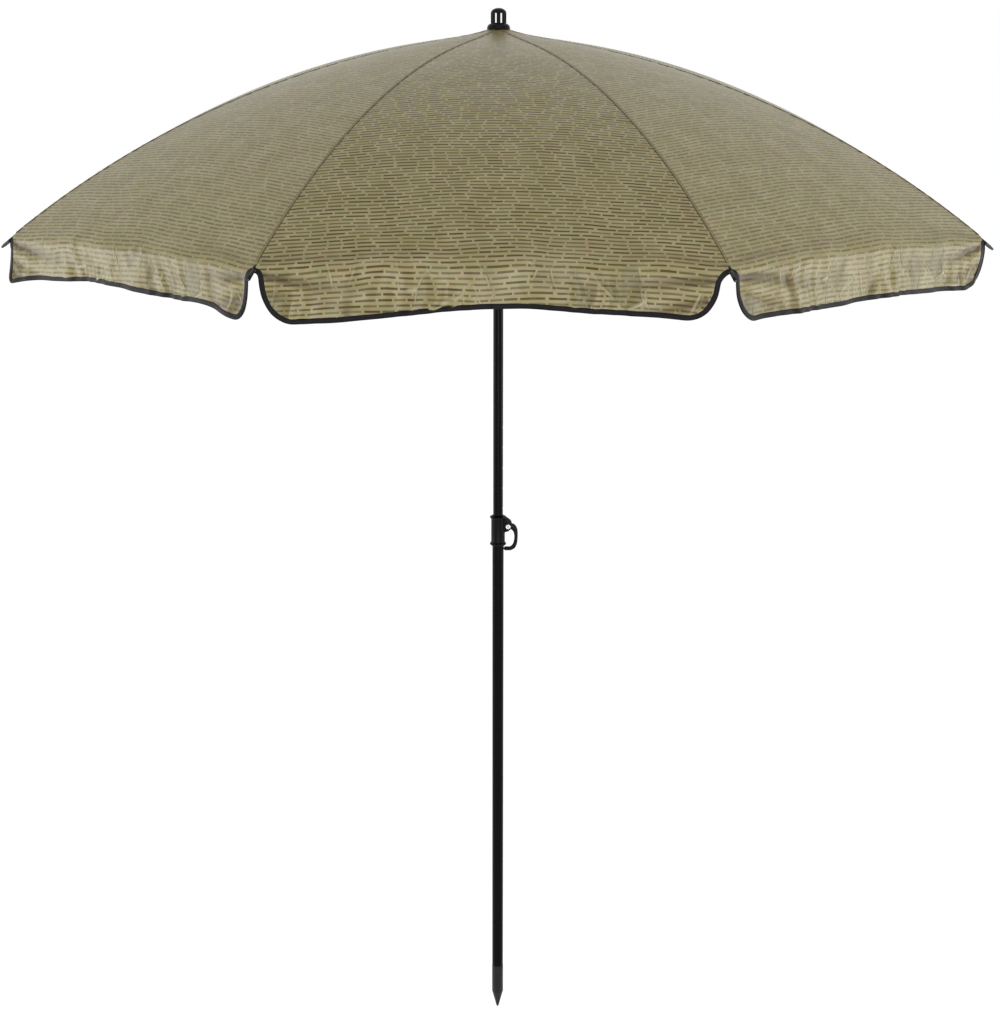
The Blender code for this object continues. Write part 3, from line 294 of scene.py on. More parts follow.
def flap_sway(gore, u, down):
    """How far the flap swings out at u across and at down, 0 at the rim to 1 at the hem: waves and curls."""
    draw = np.random.default_rng(80 + gore)
    phases = draw.uniform(0, FULL_TURN, 4)
    waves = zip(HEM_WAVES, phases)
    wave = sum(share * np.sin(FULL_TURN * u / length + phase) for (length, share), phase in waves)
    sway = HEM_SWING * np.maximum(down, 0) ** 1.3 * wave
    patch = np.clip(0.5 + 0.9 * np.sin(FULL_TURN * u / PATCH_LENGTH + phases[3]), 0, 1)
    bent = u + FOLD_BEND * np.sin(4 * down + phases[0])
    fold = np.sin(FULL_TURN * bent / FOLD_LENGTH + phases[1])
    calm = np.clip((HALF_CHORD - np.abs(u)) / CALM_STRIP - 0.3, 0, 1)
    sway = sway + FOLD_SWING * np.sqrt(np.maximum(down, 0)) * patch * calm * fold
    curls = CURLS.get(gore, draw.uniform(-CURL_LIMIT, CURL_LIMIT, 2))
    for side, curl in zip((-1, 1), curls):
        sway = sway + curl * down**2 * hill(u - side * HALF_CHORD, CURL_REACH)
    return sway


def flap_normals(gore, u, down, hung, arch):
    """Normals of the flap from the slopes of its sway; near the rim they still lean up with the bend."""
    across, fall = 0.0005, 0.01
    slope_u = (flap_sway(gore, u + across, down) - flap_sway(gore, u - across, down)) / (2 * across)
    slope_down = (flap_sway(gore, u, down + fall) - flap_sway(gore, u, down - fall)) / (2 * fall) / arch
    lean = RIM_LEAN * np.clip(1 - hung / (RIM_SHARE * RIM_BEND), 0, 1)
    return unit(np.stack(np.broadcast_arrays(1.0 + 0 * u, -slope_u, slope_down + lean), axis=-1))


print("the front flap drops", round(float(flap_arch(1, 0.0)), 3), "m at its middle")

# %% [markdown]
# Cloth is never as smooth as its formula. Sewing draws it into small puckers
# along each seam, and the pull at each notch folds a fan of valleys along the
# rim, from the corner inwards. Each valley, and each hollow of the soft folds in
# the flap, also gets a darker, browner streak of painted shade.


# %% Puckers and valleys
PUCKER_HEIGHT, PUCKER_REACH = 0.0006, 0.016
PUCKER_LENGTHS = (0.0173, 0.0291)
VALLEY_DEPTH, VALLEY_REACH = 0.0045, 0.12
VALLEY_WANDER, VALLEY_WANDER_LENGTH = 0.003, 0.031
RIDGE_COUNT = 16
# The relief fades out over this strip, so that the binding lies flat
BOUND_EDGE, BOUND_STRIP = 0.006, 0.016
# Each valley: its drop below the rim at the corner, its slope, its depth as a share, and its width
VALLEYS = (
    (0.010, 0.13, -1.0, 0.0058), (0.021, 0.20, 0.6, 0.008), (-0.004, -0.02, 0.35, 0.007),
    (-0.010, -0.05, -0.5, 0.006), (0.028, 0.30, -0.7, 0.006), (0.038, 0.7, -0.5, 0.005),
)


def valleys(gore, u, v, rim_v):
    """Fans of folds from both notches, as a height: each runs inwards on a slope and fades on its way."""
    draw = np.random.default_rng(40 + gore)
    height = 0 * u
    for corner in (-1, 1):
        inward = np.maximum(HALF_CHORD - corner * u, 0)
        for drop, slope, deep, width in VALLEYS:
            line = rim_v + drop + inward * slope * draw.uniform(0.5, 1.4)
            line = line + VALLEY_WANDER * np.sin(inward / VALLEY_WANDER_LENGTH + draw.uniform(0, 6))
            fade = np.exp(-((inward / (VALLEY_REACH * draw.uniform(0.7, 1.4))) ** 1.5))
            height = height + VALLEY_DEPTH * deep * hill(v - line, width + 0.03 * inward) * fade
    return height


def ridges(gore, u, v, rim_v):
    """Long soft folds in the flap and over the rim, each a hill across its line and a longer one along it."""
    draw = np.random.default_rng(60 + gore)
    height = 0 * u
    for _ in range(RIDGE_COUNT):
        place = draw.uniform(-0.30, 0.30), rim_v + draw.uniform(0.01, 0.07)
        angle, length, width = draw.uniform(0.9, 2.2), draw.uniform(0.015, 0.04), draw.uniform(0.005, 0.009)
        along = (u - place[0]) * math.cos(angle) + (v - place[1]) * math.sin(angle)
        across = (v - place[1]) * math.cos(angle) - (u - place[0]) * math.sin(angle)
        height = height + draw.uniform(-0.0022, 0.0026) * hill(across, width) * hill(along, length)
    return height


def relief(gore, c, u, v, rim_v, to_hem):
    """Height of puckers, valleys and ridges, flat near bound edges, and painted shade in valleys and fold
    hollows.
    """
    seam = np.maximum((1 - np.abs(c)) * HALF_CHORD * np.clip(v / rim_v, 0.02, 1), 0)
    short, long = PUCKER_LENGTHS
    ripple = np.sin(FULL_TURN * v / short + gore) + 0.7 * np.sin(FULL_TURN * v / long + 2.1 * gore)
    pucker = PUCKER_HEIGHT * np.exp(-seam / PUCKER_REACH) * ripple * np.clip((rim_v - v) / 0.03, 0, 1)
    valley, ridge = valleys(gore, u, v, rim_v), ridges(gore, u, v, rim_v)
    bound = np.clip(np.minimum(seam - BOUND_EDGE, to_hem) / BOUND_STRIP, 0, 1)
    bound = bound**2 * (3 - 2 * bound)
    # Painted shade: darker, browner cloth in the valleys and in the hollows of the ridges
    shade = np.clip(-valley / (0.7 * VALLEY_DEPTH), 0, 1) + 0.6 * np.clip(-ridge / 0.002, 0, 1)
    return pucker + (valley + ridge) * bound, np.clip(shade, 0, 1)


print(len(VALLEYS), "valleys run in from each notch, and", RIDGE_COUNT, "soft folds lie in each flap")

# %% [markdown]
# ## From formula to points
#
# A gore is walked row by row from the crown to the hem. Down to the rim the
# rows lie on the dome. A short curve with three control points then bends the
# cloth over the rim, and the last rows drop down the flap. The rows and columns
# also give each point its cloth coordinates in metres, which the print uses
# later, so a dash stays as long at the crown as at the hem.

# %% Rows and columns of a gore
DOME_ROWS, BEND_ROWS, FLAP_ROWS, COLUMNS = 104, 10, 36, 84
COLUMN_POWER = 1.3
# A column close beside the middle keeps the smooth shading level right up to the line that the halves share
MIDDLE_EDGE = 0.0003
RIM_ROW = DOME_ROWS + BEND_ROWS // 2


def notch_inset(gore, c, hung):
    """How far the flap's side stands back from the rib: quickly at the notch, then slowly."""
    left, right = NOTCHES.get(gore, (USUAL_NOTCH, USUAL_NOTCH))
    step, drop = np.where(c < 0, left[0], right[0]), np.where(c < 0, left[1], right[1])
    quick = step * np.sin(np.clip(hung / drop, 0, 1) * math.pi / 2)
    return quick + NOTCH_LEAN * np.clip(hung / NOTCH_LEAN_DROP, 0, 1)


def dome_points(radius, c):
    """Points over a radius along the rib and a share c across the gore, whose middle faces +X."""
    x = radius * math.cos(HALF_SECTOR) + 0 * c
    y = c * radius * math.sin(HALF_SECTOR)
    z = dome_height(np.maximum(radius, CLAMP_RADIUS)) + swell(radius, c)
    return np.stack(np.broadcast_arrays(x, y, z), axis=-1)


def gore_grid(gore):
    """Points, normals, cloth coordinates and shade of a gore, from one rib over the middle to the next."""
    half = np.insert(1 - (1 - np.linspace(0, 1, COLUMNS)) ** COLUMN_POWER, 1, MIDDLE_EDGE)
    c = np.concatenate([-half[:0:-1], half])[None, :]
    dome = dome_points(np.linspace(CLOTH_EDGE_RADIUS, CORNER_RADIUS - RIM_BEND, DOME_ROWS)[:, None], c)
    rim = dome_points(np.array([[CORNER_RADIUS]]), c)
    arch = flap_arch(gore, c)
    whole = arch * corner_share(gore, c)
    start = np.minimum(RIM_BEND * RIM_SHARE, whole * 0.8)
    below = rim - start[..., None] * np.array([0, 0, 1])
    t = np.linspace(0, 1, BEND_ROWS + 2)[1:, None, None]
    bend = (1 - t) ** 2 * dome[-1] + 2 * t * (1 - t) * rim + t**2 * below
    fall = np.linspace(0, 1, FLAP_ROWS + 1)[1:, None]
    flap = rim - (start + fall * (whole - start))[..., None] * np.array([0, 0, 1])
    points = np.concatenate([dome, bend, flap])
    v = lengths_along(points[:, COLUMNS])[:, None] + 0 * c
    rim_v = float(v[RIM_ROW, 0])
    hung = np.maximum(rim[..., 2] - points[..., 2], 0)
    v[RIM_ROW:] = rim_v + hung[RIM_ROW:]
    points[..., 1] -= c * notch_inset(gore, c, hung)
    u = points[..., 1].copy()
    height, shade = relief(gore, c, u, v, rim_v, whole - hung)
    points = points - normals_of(points) * height[..., None]
    down = np.clip(hung / arch, 0, 1)
    points[..., 0] += flap_sway(gore, u, down)
    normals = -normals_of(points)
    normals[RIM_ROW + 1:] = flap_normals(gore, u, down, hung, arch)[RIM_ROW + 1:]
    return points, normals, np.stack([u, v], axis=-1), shade


def gore_turn(gore):
    """Angle of a gore's middle about the pole; gore 1 faces the camera, at -Y."""
    return -math.pi / 2 + (gore - 1) * 2 * HALF_SECTOR


def rib_of(gore, side):
    """Number of the rib on a side of a gore."""
    return gore if side > 0 else (gore - 2) % RIBS + 1


def rib_turn(rib):
    """Angle of a rib about the pole."""
    return gore_turn(rib) + HALF_SECTOR


print("rows:", DOME_ROWS, "on the dome,", BEND_ROWS + 1, "over the rim and", FLAP_ROWS, "down the flap")

# %% [markdown]
# A thin sheet that is only one face deep has no inside. Real cloth has two
# faces, printed outside and coated inside, so each half gore gets both, half a
# millimetre apart and closed at the edge, with a material for each. The halves
# of a gore share their middle line exactly, so no joint shows there.


# %% Closing a sheet
def closed_sheet(name, outer, inner, uv, fields=None):
    """A closed thin piece from an outer and an inner grid, material 0 outside and on the edge, 1 inside."""
    rows, columns = outer.shape[:2]
    count = rows * columns
    faces = grid_faces(rows, columns)
    index = np.arange(count).reshape(rows, columns)
    loop = np.concatenate([index[0, :-1], index[:-1, -1], index[-1, :0:-1], index[:0:-1, 0]])
    after = np.roll(loop, -1)
    edge = np.stack([after, loop, loop + count, after + count], axis=-1)
    every = np.concatenate([faces, faces[:, ::-1] + count, edge])
    slots = np.repeat([0, 1, 0], [len(faces), len(faces), len(edge)])
    smooth = np.repeat([True, True, False], [len(faces), len(faces), len(edge)])
    points = np.concatenate([outer.reshape(-1, 3), inner.reshape(-1, 3)])
    twice = {field: np.tile(values.ravel(), 2) for field, values in (fields or {}).items()}
    return make_piece(name, points, [every], np.tile(uv.reshape(-1, 2), (2, 1)), slots, smooth, twice)


# %% [markdown]
# The real cover is sewn from eight gores, and each gore is held by the two ribs
# beside it. It could be one mesh bent by bones, but pieces that ride on rigid
# bodies can be used again in any scene. So each gore is made as two halves, and
# each half follows the rib that it is sewn to.


def follow_rib(piece, rib, fold=True):
    """The piece rides on a rib, and a wide piece also gets a copy of its mesh of its own."""
    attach(piece, f"rib_{rib}")
    if fold:
        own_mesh(piece)


# Strength of the print on each gore: full on the front gore and weaker on the others
USUAL_INK = 0.8
INK = {1: 1.0, 2: 0.68, 8: 0.72}
SIDES = {1: ("right", slice(COLUMNS, None)), -1: ("left", slice(COLUMNS, None, -1))}
halves, gores = {}, {}
for gore in range(1, RIBS + 1):
    points, normals, uv, shade = gore_grid(gore)
    points, normals = turned_about_z(points, gore_turn(gore)), turned_about_z(normals, gore_turn(gore))
    for side, (hand, part) in SIDES.items():
        outer, out = points[:, part], normals[:, part]
        halves[gore, side] = outer, out
        fields = {"shade": shade[:, part], "ink": np.full(out.shape[:2], INK.get(gore, USUAL_INK))}
        piece = closed_sheet(f"gore_{gore}_{hand}", outer, outer - out * CLOTH_THICKNESS, uv[:, part], fields)
        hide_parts(f"canopy_panel_{gore}")
        gores[gore, side] = piece
RIM_V = float(uv[RIM_ROW, 0, 1])
print(len(gores), "half gores of", len(piece.data.polygons), "faces; rim at", round(RIM_V, 3), "m of cloth")

# %% [markdown]
# ## The binding
#
# Black tape is folded over the raw edge of every flap and runs on over the
# point of the notch at each rib. A tape is a flat tube: its rounded outline is
# carried along the edge of the cloth and turned at each step, so that it stays
# in the cloth's own plane. One tape is made for each rib, from the middle of
# one flap to the middle of the next, because those two halves ride on that rib.

# %% Carry the tape along the edge
TAPE_WIDTH, TAPE_HALF_THICKNESS = 0.0080, 0.0009
TAPE_SIDES, TAPE_STEP = 14, 0.0022
# The tape's fold stands this far outside the raw edge, and its outline is this square
TAPE_OVER, TAPE_SQUARE = 0.0007, 0.6


def evenly(points, step, *others):
    """Points spaced evenly along a path, with other rows of values carried along."""
    far = lengths_along(points)
    keep = np.concatenate([[True], np.diff(far) > 1e-9])
    wanted = np.linspace(0, far[-1], int(far[-1] / step) + 1)
    return [points_at(wanted, far[keep], values[keep]) for values in (points, *others)]


def softened(values, reach):
    """Each row averaged with its neighbours under a smooth window, the ends kept."""
    window = np.hanning(2 * reach + 3)[1:-1]
    before = 2 * values[:1] - values[reach:0:-1]
    after = 2 * values[-1:] - values[-2:-reach - 2:-1]
    padded = np.concatenate([before, values, after])
    return np.stack([np.convolve(padded[:, k], window / window.sum(), "valid") for k in range(3)], axis=-1)


def flat_tube(name, path, inward, normal, width, thickness, sides):
    """A closed tube with a flat rounded outline, carried along a path; inward is the way of its width."""
    angle = np.linspace(0, FULL_TURN, sides, endpoint=False)
    wide = width * (0.5 - 0.5 * np.sign(np.cos(angle)) * np.abs(np.cos(angle)) ** TAPE_SQUARE) - TAPE_OVER
    thick = thickness * np.sign(np.sin(angle)) * np.abs(np.sin(angle)) ** TAPE_SQUARE
    rings = path[:, None] + inward[:, None] * wide[None, :, None] + normal[:, None] * thick[None, :, None]
    rows = len(path)
    caps = np.stack([np.arange(sides)[::-1], np.arange((rows - 1) * sides, rows * sides)])
    uv = np.stack(np.broadcast_arrays(wide[None, :], lengths_along(path)[:, None]), axis=-1)
    return make_piece(name, rings, [grid_faces(rows, sides, wrap=True), caps], uv)


def raw_edge(points, normals):
    """The raw edge of a half gore and its normals, from the hem's middle over the corner to the notch."""
    middle = points - normals * CLOTH_THICKNESS / 2
    edge = np.concatenate([middle[-1], middle[-2:RIM_ROW:-1, -1]])
    return edge, np.concatenate([normals[-1], normals[-2:RIM_ROW:-1, -1]])


tapes = {}
for rib in range(1, RIBS + 1):
    first, first_out = raw_edge(*halves[rib, 1])
    second, second_out = raw_edge(*halves[rib % RIBS + 1, -1])
    whole, whole_out = np.concatenate([first, second[::-1]]), np.concatenate([first_out, second_out[::-1]])
    path, out = evenly(whole, TAPE_STEP, whole_out)
    path, out = softened(path, 3), unit(softened(out, 6))
    along = unit(np.gradient(path, axis=0))
    inward = unit(np.cross(out, along))
    out = unit(np.cross(along, inward))
    tapes[rib] = flat_tube(f"binding_{rib}", path, inward, out, TAPE_WIDTH, TAPE_HALF_THICKNESS, TAPE_SIDES)
print(len(tapes), "tapes of", len(path), "steps")

# %% [markdown]
# The corner of the cover is held on the rib's end by a small black pocket, a
# short sleeve of the same tape, which shows just behind the steel tip. A plain
# cylinder would do from afar, but a profile carried round the rib's own line
# gives the sleeve a wall, a bore and rounded lips.

# %% Sleeves on the rib ends
SLEEVE_FROM, SLEEVE_TO = 0.873, 0.8895
# On the two near ribs the pocket was pulled out further over the tip
PULLED_OUT = {1: 0.0105, 8: 0.0105}
SLEEVE_INNER, SLEEVE_OUTER, SLEEVE_ROUND = 0.0023, 0.0029, 0.0003
SLEEVE_SIDES = 20
# The rib's own line runs this far under the cloth
RIB_UNDER = 0.0036


def sleeve(name, rib):
    """A short round sleeve along the end of a rib: a closed profile carried round the rib's line."""
    start = np.array([SLEEVE_FROM, dome_height(SLEEVE_FROM, RIB_UNDER)])
    far = SLEEVE_TO + PULLED_OUT.get(rib, 0.0)
    end = np.array([far, dome_height(far, RIB_UNDER)])
    along = (end - start) / np.hypot(*(end - start))
    share = np.array([0, 0, 0.04, 0.96, 1, 1, 0])
    lip = SLEEVE_OUTER - SLEEVE_ROUND
    size = np.array([SLEEVE_INNER, lip, SLEEVE_OUTER, SLEEVE_OUTER, lip, SLEEVE_INNER, SLEEVE_INNER])
    angle = np.linspace(0, FULL_TURN, SLEEVE_SIDES, endpoint=False)[None, :]
    base = start + share[:, None] * (end - start)
    x = base[:, None, 0] - along[1] * size[:, None] * np.cos(angle)
    z = base[:, None, 1] + along[0] * size[:, None] * np.cos(angle)
    y = size[:, None] * np.sin(angle)
    faces = grid_faces(len(size), SLEEVE_SIDES, wrap=True) % ((len(size) - 1) * SLEEVE_SIDES)
    points = np.stack([x, y, z], axis=-1)[:-1]
    uv = np.stack(np.broadcast_arrays(angle * 0.003, share[:-1, None] * 0.02), axis=-1)
    return make_piece(name, turned_about_z(points, rib_turn(rib)), [faces], uv)


sleeves = {rib: sleeve(f"rib_sleeve_{rib}", rib) for rib in range(1, RIBS + 1)}
print(len(sleeves), "sleeves")

# %% [markdown]
# ## The seams over the ribs
#
# Two gores are joined by a lapped seam: the edges are folded into each other and
# sewn down with two rows of stitches, so a narrow raised band runs from the
# finial to the rim. The band takes its ground from the cover's own formula on
# both sides of the rib and rises by less than a millimetre.

# %% Raise the seams and sew them
SEAM_HALF_WIDTH, SEAM_RISE = 0.0028, 0.0008
SEAM_START, SEAM_END = 0.0225, 0.876
SEAM_ROWS, SEAM_COLUMNS = 340, 15
STITCH_PITCH, STITCH_LENGTH, STITCH_RADIUS = 0.0034, 0.0029, 0.00045
STITCH_ROW_SHARE = 0.71
# Small puckers along the band, the grooves that the stitches pull into it, and its lift and reach below
SEAM_PUCKER_SHARE, SEAM_PUCKER_LENGTHS = 0.35, (0.011, 0.037)
GROOVE_DEPTH_SHARE, GROOVE_WIDTH_SHARE = 0.55, 0.12
SEAM_LIFT, SEAM_BELOW = 0.0001, 0.0003
# A stitch is a small spindle: places along it and the share of its thickness at each
STITCH_SIDES = 6
STITCH_STATIONS = ((-0.5, 0.15), (-0.36, 0.8), (0, 1.0), (0.36, 0.8), (0.5, 0.15))


def seam_ground(rib, radius, across):
    """Points of the cover near a rib, at signed distances across it."""
    side = np.where(across >= 0, -1.0, 1.0)
    c = 1 - np.abs(across) / (radius * math.sin(HALF_SECTOR))
    x = radius * math.cos(HALF_SECTOR) + 0 * c
    y = side * c * radius * math.sin(HALF_SECTOR)
    z = dome_height(radius) + swell(radius, c)
    cos, sin = np.cos(-side * HALF_SECTOR), np.sin(-side * HALF_SECTOR)
    return turned_about_z(np.stack([x * cos - y * sin, x * sin + y * cos, z], axis=-1), rib_turn(rib))


def seam_piece(rib):
    """The raised band of one seam, closed below, with small puckers along it."""
    radius = np.linspace(SEAM_START, SEAM_END, SEAM_ROWS)[:, None]
    q = np.linspace(-1, 1, SEAM_COLUMNS)[None, :]
    half = np.minimum(SEAM_HALF_WIDTH, radius * 0.2)
    ground = seam_ground(rib, radius, q * half)
    up = unit(np.cross(np.gradient(ground, axis=0), np.gradient(ground, axis=1)))
    short, long = SEAM_PUCKER_LENGTHS
    ripple = SEAM_PUCKER_SHARE * np.sin(FULL_TURN * radius / short + rib) * np.sin(FULL_TURN * radius / long)
    groove = hill(np.abs(q) - STITCH_ROW_SHARE, GROOVE_WIDTH_SHARE)
    rise = SEAM_RISE * (1 + ripple) * (1 - np.abs(q) ** 6) * (1 - GROOVE_DEPTH_SHARE * groove) + SEAM_LIFT
    top = ground + up * rise[..., None]
    bottom = ground - up * SEAM_BELOW
    uv = np.stack(np.broadcast_arrays(q * half, radius), axis=-1)
    return closed_sheet(f"seam_{rib}", top, bottom, uv), top, up


def stitch_run(name, places, along, up, length, radius):
    """Short rounded threads at many places, each lying along its seam."""
    along, up = unit(along), unit(up)
    cross = np.cross(along, up)
    angle = np.linspace(0, FULL_TURN, STITCH_SIDES, endpoint=False)
    rings = []
    for share, size in STITCH_STATIONS:
        ring = (
            places[:, None]
            + along[:, None] * length * share
            + cross[:, None] * (np.cos(angle) * radius * size)[None, :, None]
            + up[:, None] * (np.sin(angle) * radius * size + radius * 0.4 * size)[None, :, None]
        )
        rings.append(ring)
    count = len(STITCH_STATIONS) * STITCH_SIDES
    shift = (np.arange(len(places)) * count)[:, None, None]
    quads = grid_faces(len(STITCH_STATIONS), STITCH_SIDES, wrap=True) + shift
    caps = np.stack([np.arange(STITCH_SIDES)[::-1], np.arange(count - STITCH_SIDES, count)]) + shift
    return make_piece(name, np.stack(rings, axis=1), [quads.reshape(-1, 4), caps.reshape(-1, STITCH_SIDES)])


seams, threads = {}, {}
for rib in range(1, RIBS + 1):
    seams[rib], top, up = seam_piece(rib)
    far = lengths_along(top[:, SEAM_COLUMNS // 2])
    wanted = np.arange(STITCH_PITCH, far[-1] - STITCH_PITCH, STITCH_PITCH)
    columns = [int(round((sign * STITCH_ROW_SHARE + 1) / 2 * (SEAM_COLUMNS - 1))) for sign in (-1, 1)]
    lines = [points_at(wanted, far, top[:, column]) for column in columns]
    places, alongs = np.concatenate(lines), np.concatenate([np.gradient(line, axis=0) for line in lines])
    ups = np.concatenate([points_at(wanted, far, up[:, column]) for column in columns])
    threads[rib] = stitch_run(f"seam_stitches_{rib}", places, alongs, ups, STITCH_LENGTH, STITCH_RADIUS)
print(len(seams), "seams,", 2 * len(wanted), "stitches in each")

# %% [markdown]
# ## Colours and node helpers
#
# Colours are read off the object as they look, so they are written as sRGB hex
# values and one function turns them to the linear values that Blender mixes.
# One more function adds any node with its settings and its links, which keeps
# the recipes of the finishes short enough to read. Given a node in place of a
# value, it links that node's first output, the one that is wanted most often.


# %% Colour and node helpers
def colour(code):
    """Linear red, green, blue and alpha from an sRGB hex value."""
    values = np.array([int(code[i:i + 2], 16) / 255 for i in (1, 3, 5)])
    linear = np.where(values <= 0.04045, values / 12.92, ((values + 0.055) / 1.055) ** 2.4)
    return (*linear.tolist(), 1.0)


def add(tree, kind, inputs=None, **settings):
    """Adds a node, sets its properties, and fills its inputs with values or links from sockets or nodes."""
    node = tree.nodes.new(kind)
    for name, value in settings.items():
        setattr(node, name, value)
    for socket, value in (inputs or {}).items():
        if isinstance(value, bpy.types.Node):
            value = value.outputs[0]
        if isinstance(value, bpy.types.NodeSocket):
            tree.links.new(value, node.inputs[socket])
        else:
            node.inputs[socket].default_value = value
    return node


def finish(name, **values):
    """A material with its Principled shader, whose plain values are set by socket name."""
    material = bpy.data.materials.new(name)
    material.use_nodes = True
    tree = material.node_tree
    shader = tree.nodes["Principled BSDF"]
    for socket, value in values.items():
        shader.inputs[socket.replace("_", " ")].default_value = value
    return material, tree, shader


print("the khaki of the cloth in linear values:", [round(x, 3) for x in colour("#A79C6C")[:3]])

# %% [markdown]
# ## The printed cloth
#
# The cover is thin polyester with a waterproof coating. Its print is a rain
# camouflage: rows of short brown dashes on khaki. A picture could carry it, but
# a formula in the cloth's own coordinates never blurs, however near the camera
# comes. A row is a stripe of the cloth's length, with its own shift from a
# white noise, a slow noise stretches the dashes, and every dash has its own
# strength, so the print never repeats.

# %% Rain-dash print
ROW_PITCH, ROW_WANDER = 0.0077, 0.012
DASH_LENGTH, DASH_STRETCH = 0.027, 1.7
# Share of a row's pitch that a dash fills, and of a dash's length, with the softness of each edge
DASH_WIDTH_SHARE, DASH_WIDTH_SOFT = 0.42, 0.05
DASH_FILL_SHARE, DASH_FILL_SOFT = 0.87, 0.02


def band(tree, along, share, soft):
    """Number of the band, one long, that a coordinate is in, and how far it is in the band's inked share."""
    number = add(tree, "ShaderNodeMath", {0: along}, operation="FLOOR")
    place = add(tree, "ShaderNodeMath", {0: along, 1: 1.0, 2: 0.0}, operation="WRAP")
    far = add(tree, "ShaderNodeMath", {0: place, 1: 0.5}, operation="SUBTRACT")
    off = add(tree, "ShaderNodeMath", {0: far}, operation="ABSOLUTE")
    edge = {1: share / 2 - soft, 2: share / 2 + soft, 3: 1.0, 4: 0.0}
    return number, add(tree, "ShaderNodeMapRange", {"Value": off, **edge})


def dash_ink(tree, cloth, across, down, fill):
    """How much ink a spot has: the rows times the dashes, times the strength of each dash and each gore."""
    # Rows: the cloth's length in pitches, bent a little so that no row is ruled straight
    bend = add(tree, "ShaderNodeTexNoise", {"Vector": cloth, "Scale": 9.0, "Detail": 1.0})
    along = add(tree, "ShaderNodeMath", {0: bend, 1: ROW_WANDER, 2: down}, operation="MULTIPLY_ADD")
    row = add(tree, "ShaderNodeMath", {0: along, 1: ROW_PITCH}, operation="DIVIDE")
    row_number, in_row = band(tree, row, DASH_WIDTH_SHARE, DASH_WIDTH_SOFT)
    # Dashes: the width in dash lengths, shifted for each row and stretched slowly
    shift = add(tree, "ShaderNodeTexWhiteNoise", {"W": row_number}, noise_dimensions="1D")
    stretch_at = add(tree, "ShaderNodeCombineXYZ", {"X": across, "Y": row_number})
    stretch = add(tree, "ShaderNodeTexNoise", {"Vector": stretch_at, "Scale": 14.0, "Detail": 0.0})
    slide = add(tree, "ShaderNodeMath", {0: stretch, 1: DASH_STRETCH, 2: shift}, operation="MULTIPLY_ADD")
    cell = add(tree, "ShaderNodeMath", {0: across, 1: 1 / DASH_LENGTH, 2: slide}, operation="MULTIPLY_ADD")
    cell_number, in_cell = band(tree, cell, DASH_FILL_SHARE, DASH_FILL_SOFT)
    dashes = add(tree, "ShaderNodeMath", {0: in_row, 1: in_cell}, operation="MULTIPLY")
    # Ink: each dash has its own strength, and each gore its own too
    cell_at = add(tree, "ShaderNodeCombineXYZ", {"X": cell_number, "Y": row_number})
    strength = add(tree, "ShaderNodeTexWhiteNoise", {"Vector": cell_at}, noise_dimensions="2D")
    full = add(tree, "ShaderNodeMapRange", {"Value": strength, 3: fill * 0.62, 4: fill})
    printed = add(tree, "ShaderNodeAttribute", attribute_name="ink")
    inking = add(tree, "ShaderNodeMath", {0: full, 1: printed.outputs["Fac"]}, operation="MULTIPLY")
    return add(tree, "ShaderNodeMath", {0: dashes, 1: inking}, operation="MULTIPLY")


print("a row every", ROW_PITCH, "m of cloth, and a dash every", DASH_LENGTH, "m along it")

# %% [markdown]
# Sharp little creases cross the flap, where nothing holds the cloth taut. They
# are finer than the grid of the cloth, so they are drawn in the shader. Plain
# noise looks soft like dough, but the borders between Voronoi cells are straight
# ridges that meet in corners, as in crumpled cloth. A pale painted highlight
# lies along them, and some facets between them get olive painted shade, as if
# they leaned away from the light.

# %% Creases of the flap
CREASE_SCALE, CREASE_STRETCH = 30.0, (1.0, 0.45, 1.0)


